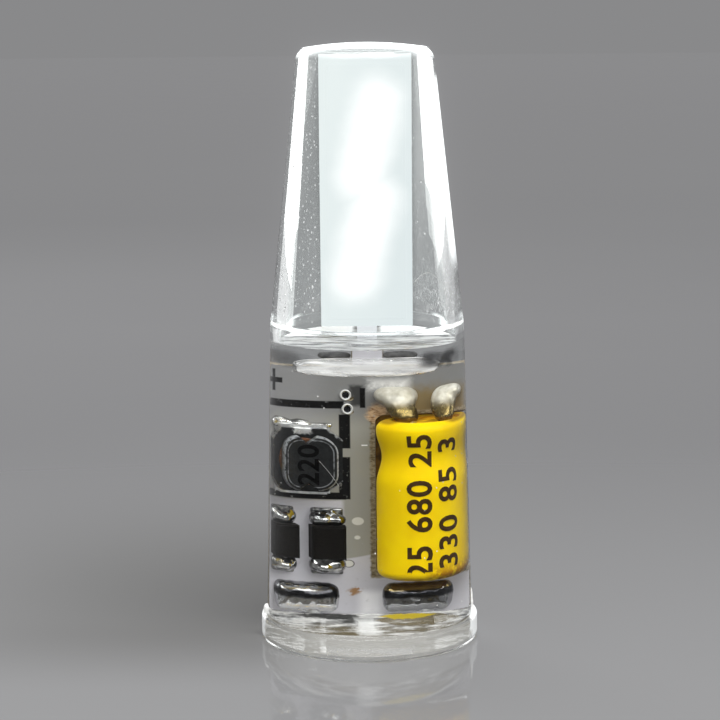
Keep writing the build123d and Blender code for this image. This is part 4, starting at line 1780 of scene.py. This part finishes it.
@dataclass
class Studio:
    """The floor, the soft lights, the camera and the picture's settings.

    A panel has its direction in degrees from straight behind, to the right, its distance, its width and
    height, how high it hangs over the floor and how bright its face is.
    """

    eye: Place = (-0.37, -106.1, 30.4)
    pitch: float = 8.7
    roll: float = 0.52
    lens: float = 106.45
    clip: Point = (0.005, 20.0)
    sky: Colour = (0.25, 0.25, 0.255)
    floor_radius: float = 3000.0
    sun_height: float = 49.0
    sun_spread: float = 54.0
    panels: tuple[tuple[str, float, float, Point, float, float], ...] = (
        ("left_panel", -42.0, 105.0, (76.0, 90.0), 10.4, 2.0),
        ("left_low", -42.0, 105.0, (76.0, 9.4), 0.8, 0.62),
        ("right_panel", 43.4, 120.0, (130.0, 90.0), 11.9, 2.0),
        ("right_third", 43.0, 120.0, (128.0, 2.8), 9.1, 0.55),
        ("right_second", 43.0, 120.0, (126.0, 3.0), 6.1, 0.4),
        ("right_low", 44.0, 120.0, (96.0, 5.3), 0.8, 0.28),
    )

    def floor(self) -> None:
        """A wide round floor under the bulb."""
        form = bmesh.new()
        bmesh.ops.create_circle(form, cap_ends=True, segments=96, radius=self.floor_radius)
        mesh = Bench.settle("floor", form, SMOOTH)
        mesh.materials.append(coat(FloorPaint()))
        sheet = bpy.data.objects.new("floor", mesh)
        bpy.context.scene.collection.objects.link(sheet)

    @staticmethod
    def lamp(name: str, place: Place, aim: Place, size: Point, radiance: float) -> bpy.types.Object:
        """A soft rectangular light.

        Args:
            name: The light's name.
            place: Where it stands, in millimetres.
            aim: The point that it faces.
            size: Its width and height.
            radiance: How bright its face is.

        Returns:
            The light.
        """
        data = bpy.data.lights.new(name, "AREA")
        data.shape = "RECTANGLE"
        data.size, data.size_y = size[0] * MM, size[1] * MM
        data.energy = radiance * math.pi * data.size * data.size_y
        light = bpy.data.objects.new(name, data)
        light.location = Vector(place) * MM
        light.rotation_euler = (Vector(aim) - Vector(place)).to_track_quat("-Z", "Y").to_euler()
        light.visible_camera = False
        bpy.context.scene.collection.objects.link(light)
        return light

    def daylight(self, name: str, azimuth: float, strength: float, casts: bool = True) -> None:
        """A far, high, wide light that falls evenly over the floor.

        Args:
            name: The light's name.
            azimuth: Where it stands, in degrees from behind the camera, to the right.
            strength: The light that it sheds on a face turned to it.
            casts: Whether it throws shadows.
        """
        data = bpy.data.lights.new(name, "SUN")
        data.energy = strength
        data.angle = math.radians(self.sun_spread)
        data.use_shadow = casts
        light = bpy.data.objects.new(name, data)
        light.rotation_euler = (math.radians(90.0 - self.sun_height), 0.0, math.radians(azimuth))
        bpy.context.scene.collection.objects.link(light)

    def lights(self) -> None:
        """A soft key, a fill, a soft rear light, and panels for the clear wall alone to show."""
        self.daylight("key", 34.0, 3.9)
        self.daylight("fill", -36.0, 2.8, casts=False)
        rear = self.lamp("rear", (-70.0, 150.0, 120.0), (0.0, 0.0, 10.0), (120.0, 120.0), 2.6)
        rear.visible_glossy = rear.visible_transmission = False
        for name, azimuth, reach, size, foot, radiance in self.panels:
            turn = math.radians(azimuth)
            place = (reach * math.sin(turn), reach * math.cos(turn), size[1] / 2 + foot)
            light = self.lamp(name, place, (0.0, 0.0, place[2]), size, radiance)
            light.visible_diffuse = light.visible_glossy = False

    def world(self) -> None:
        """An even grey surround."""
        world = bpy.data.worlds.new("surround")
        bpy.context.scene.world = world
        world.use_nodes = True
        world.node_tree.nodes["Background"].inputs["Color"].default_value = (*self.sky, 1.0)

    def camera(self) -> None:
        """The camera at the photograph's angle."""
        data = bpy.data.cameras.new("camera")
        data.lens = self.lens
        data.sensor_width = 36.0
        data.clip_start, data.clip_end = self.clip
        camera = bpy.data.objects.new("camera", data)
        camera.location = Vector(self.eye) * MM
        turn = Euler((math.radians(90.0 - self.pitch), 0.0, 0.0)).to_matrix()
        camera.rotation_euler = (turn @ Matrix.Rotation(math.radians(-self.roll), 3, "Z")).to_euler()
        bpy.context.scene.collection.objects.link(camera)
        bpy.context.scene.camera = camera

    @staticmethod
    def picture() -> None:
        """Light paths deep enough for the clear body, and plain colour."""
        scene = bpy.context.scene
        scene.view_settings.view_transform = "Standard"
        scene.view_settings.look = "None"
        cycles = scene.cycles
        cycles.max_bounces = 40
        cycles.transmission_bounces = 32
        cycles.transparent_max_bounces = 48
        cycles.glossy_bounces = 8
        cycles.diffuse_bounces = 3
        cycles.caustics_reflective = cycles.caustics_refractive = False
        cycles.sample_clamp_indirect = 6.0
        cycles.use_denoising = True

    @staticmethod
    def bloom() -> None:
        """A little light that spills round the lit plate, as in a lens."""
        scene = bpy.context.scene
        scene.use_nodes = True
        tree = scene.node_tree
        tree.nodes.clear()
        layers = tree.nodes.new("CompositorNodeRLayers")
        glare = tree.nodes.new("CompositorNodeGlare")
        glare.glare_type = "BLOOM"
        for name, value in (("Threshold", 1.0), ("Strength", 0.2), ("Size", 0.35), ("Maximum", 2.0)):
            glare.inputs[name].default_value = value
        end = tree.nodes.new("CompositorNodeComposite")
        tree.links.new(layers.outputs["Image"], glare.inputs["Image"])
        tree.links.new(glare.outputs["Image"], end.inputs["Image"])

    def build(self) -> None:
        """Sets the whole studio."""
        self.floor()
        self.lights()
        self.world()
        self.camera()
        self.picture()
        self.bloom()


def main() -> None:
    """Builds and dresses the bulb, then the studio round it."""
    logging.basicConfig(level=logging.INFO, format="%(name)s %(message)s")
    ClearBody().build()
    Wiring().dress()
    SolderJoints().build()
    Coil().build()
    Sleeve().build()
    Trapped().build()
    SleevePrint().build()
    CorePrint().build()
    Studio().build()


if __name__ == "__main__":
    main()
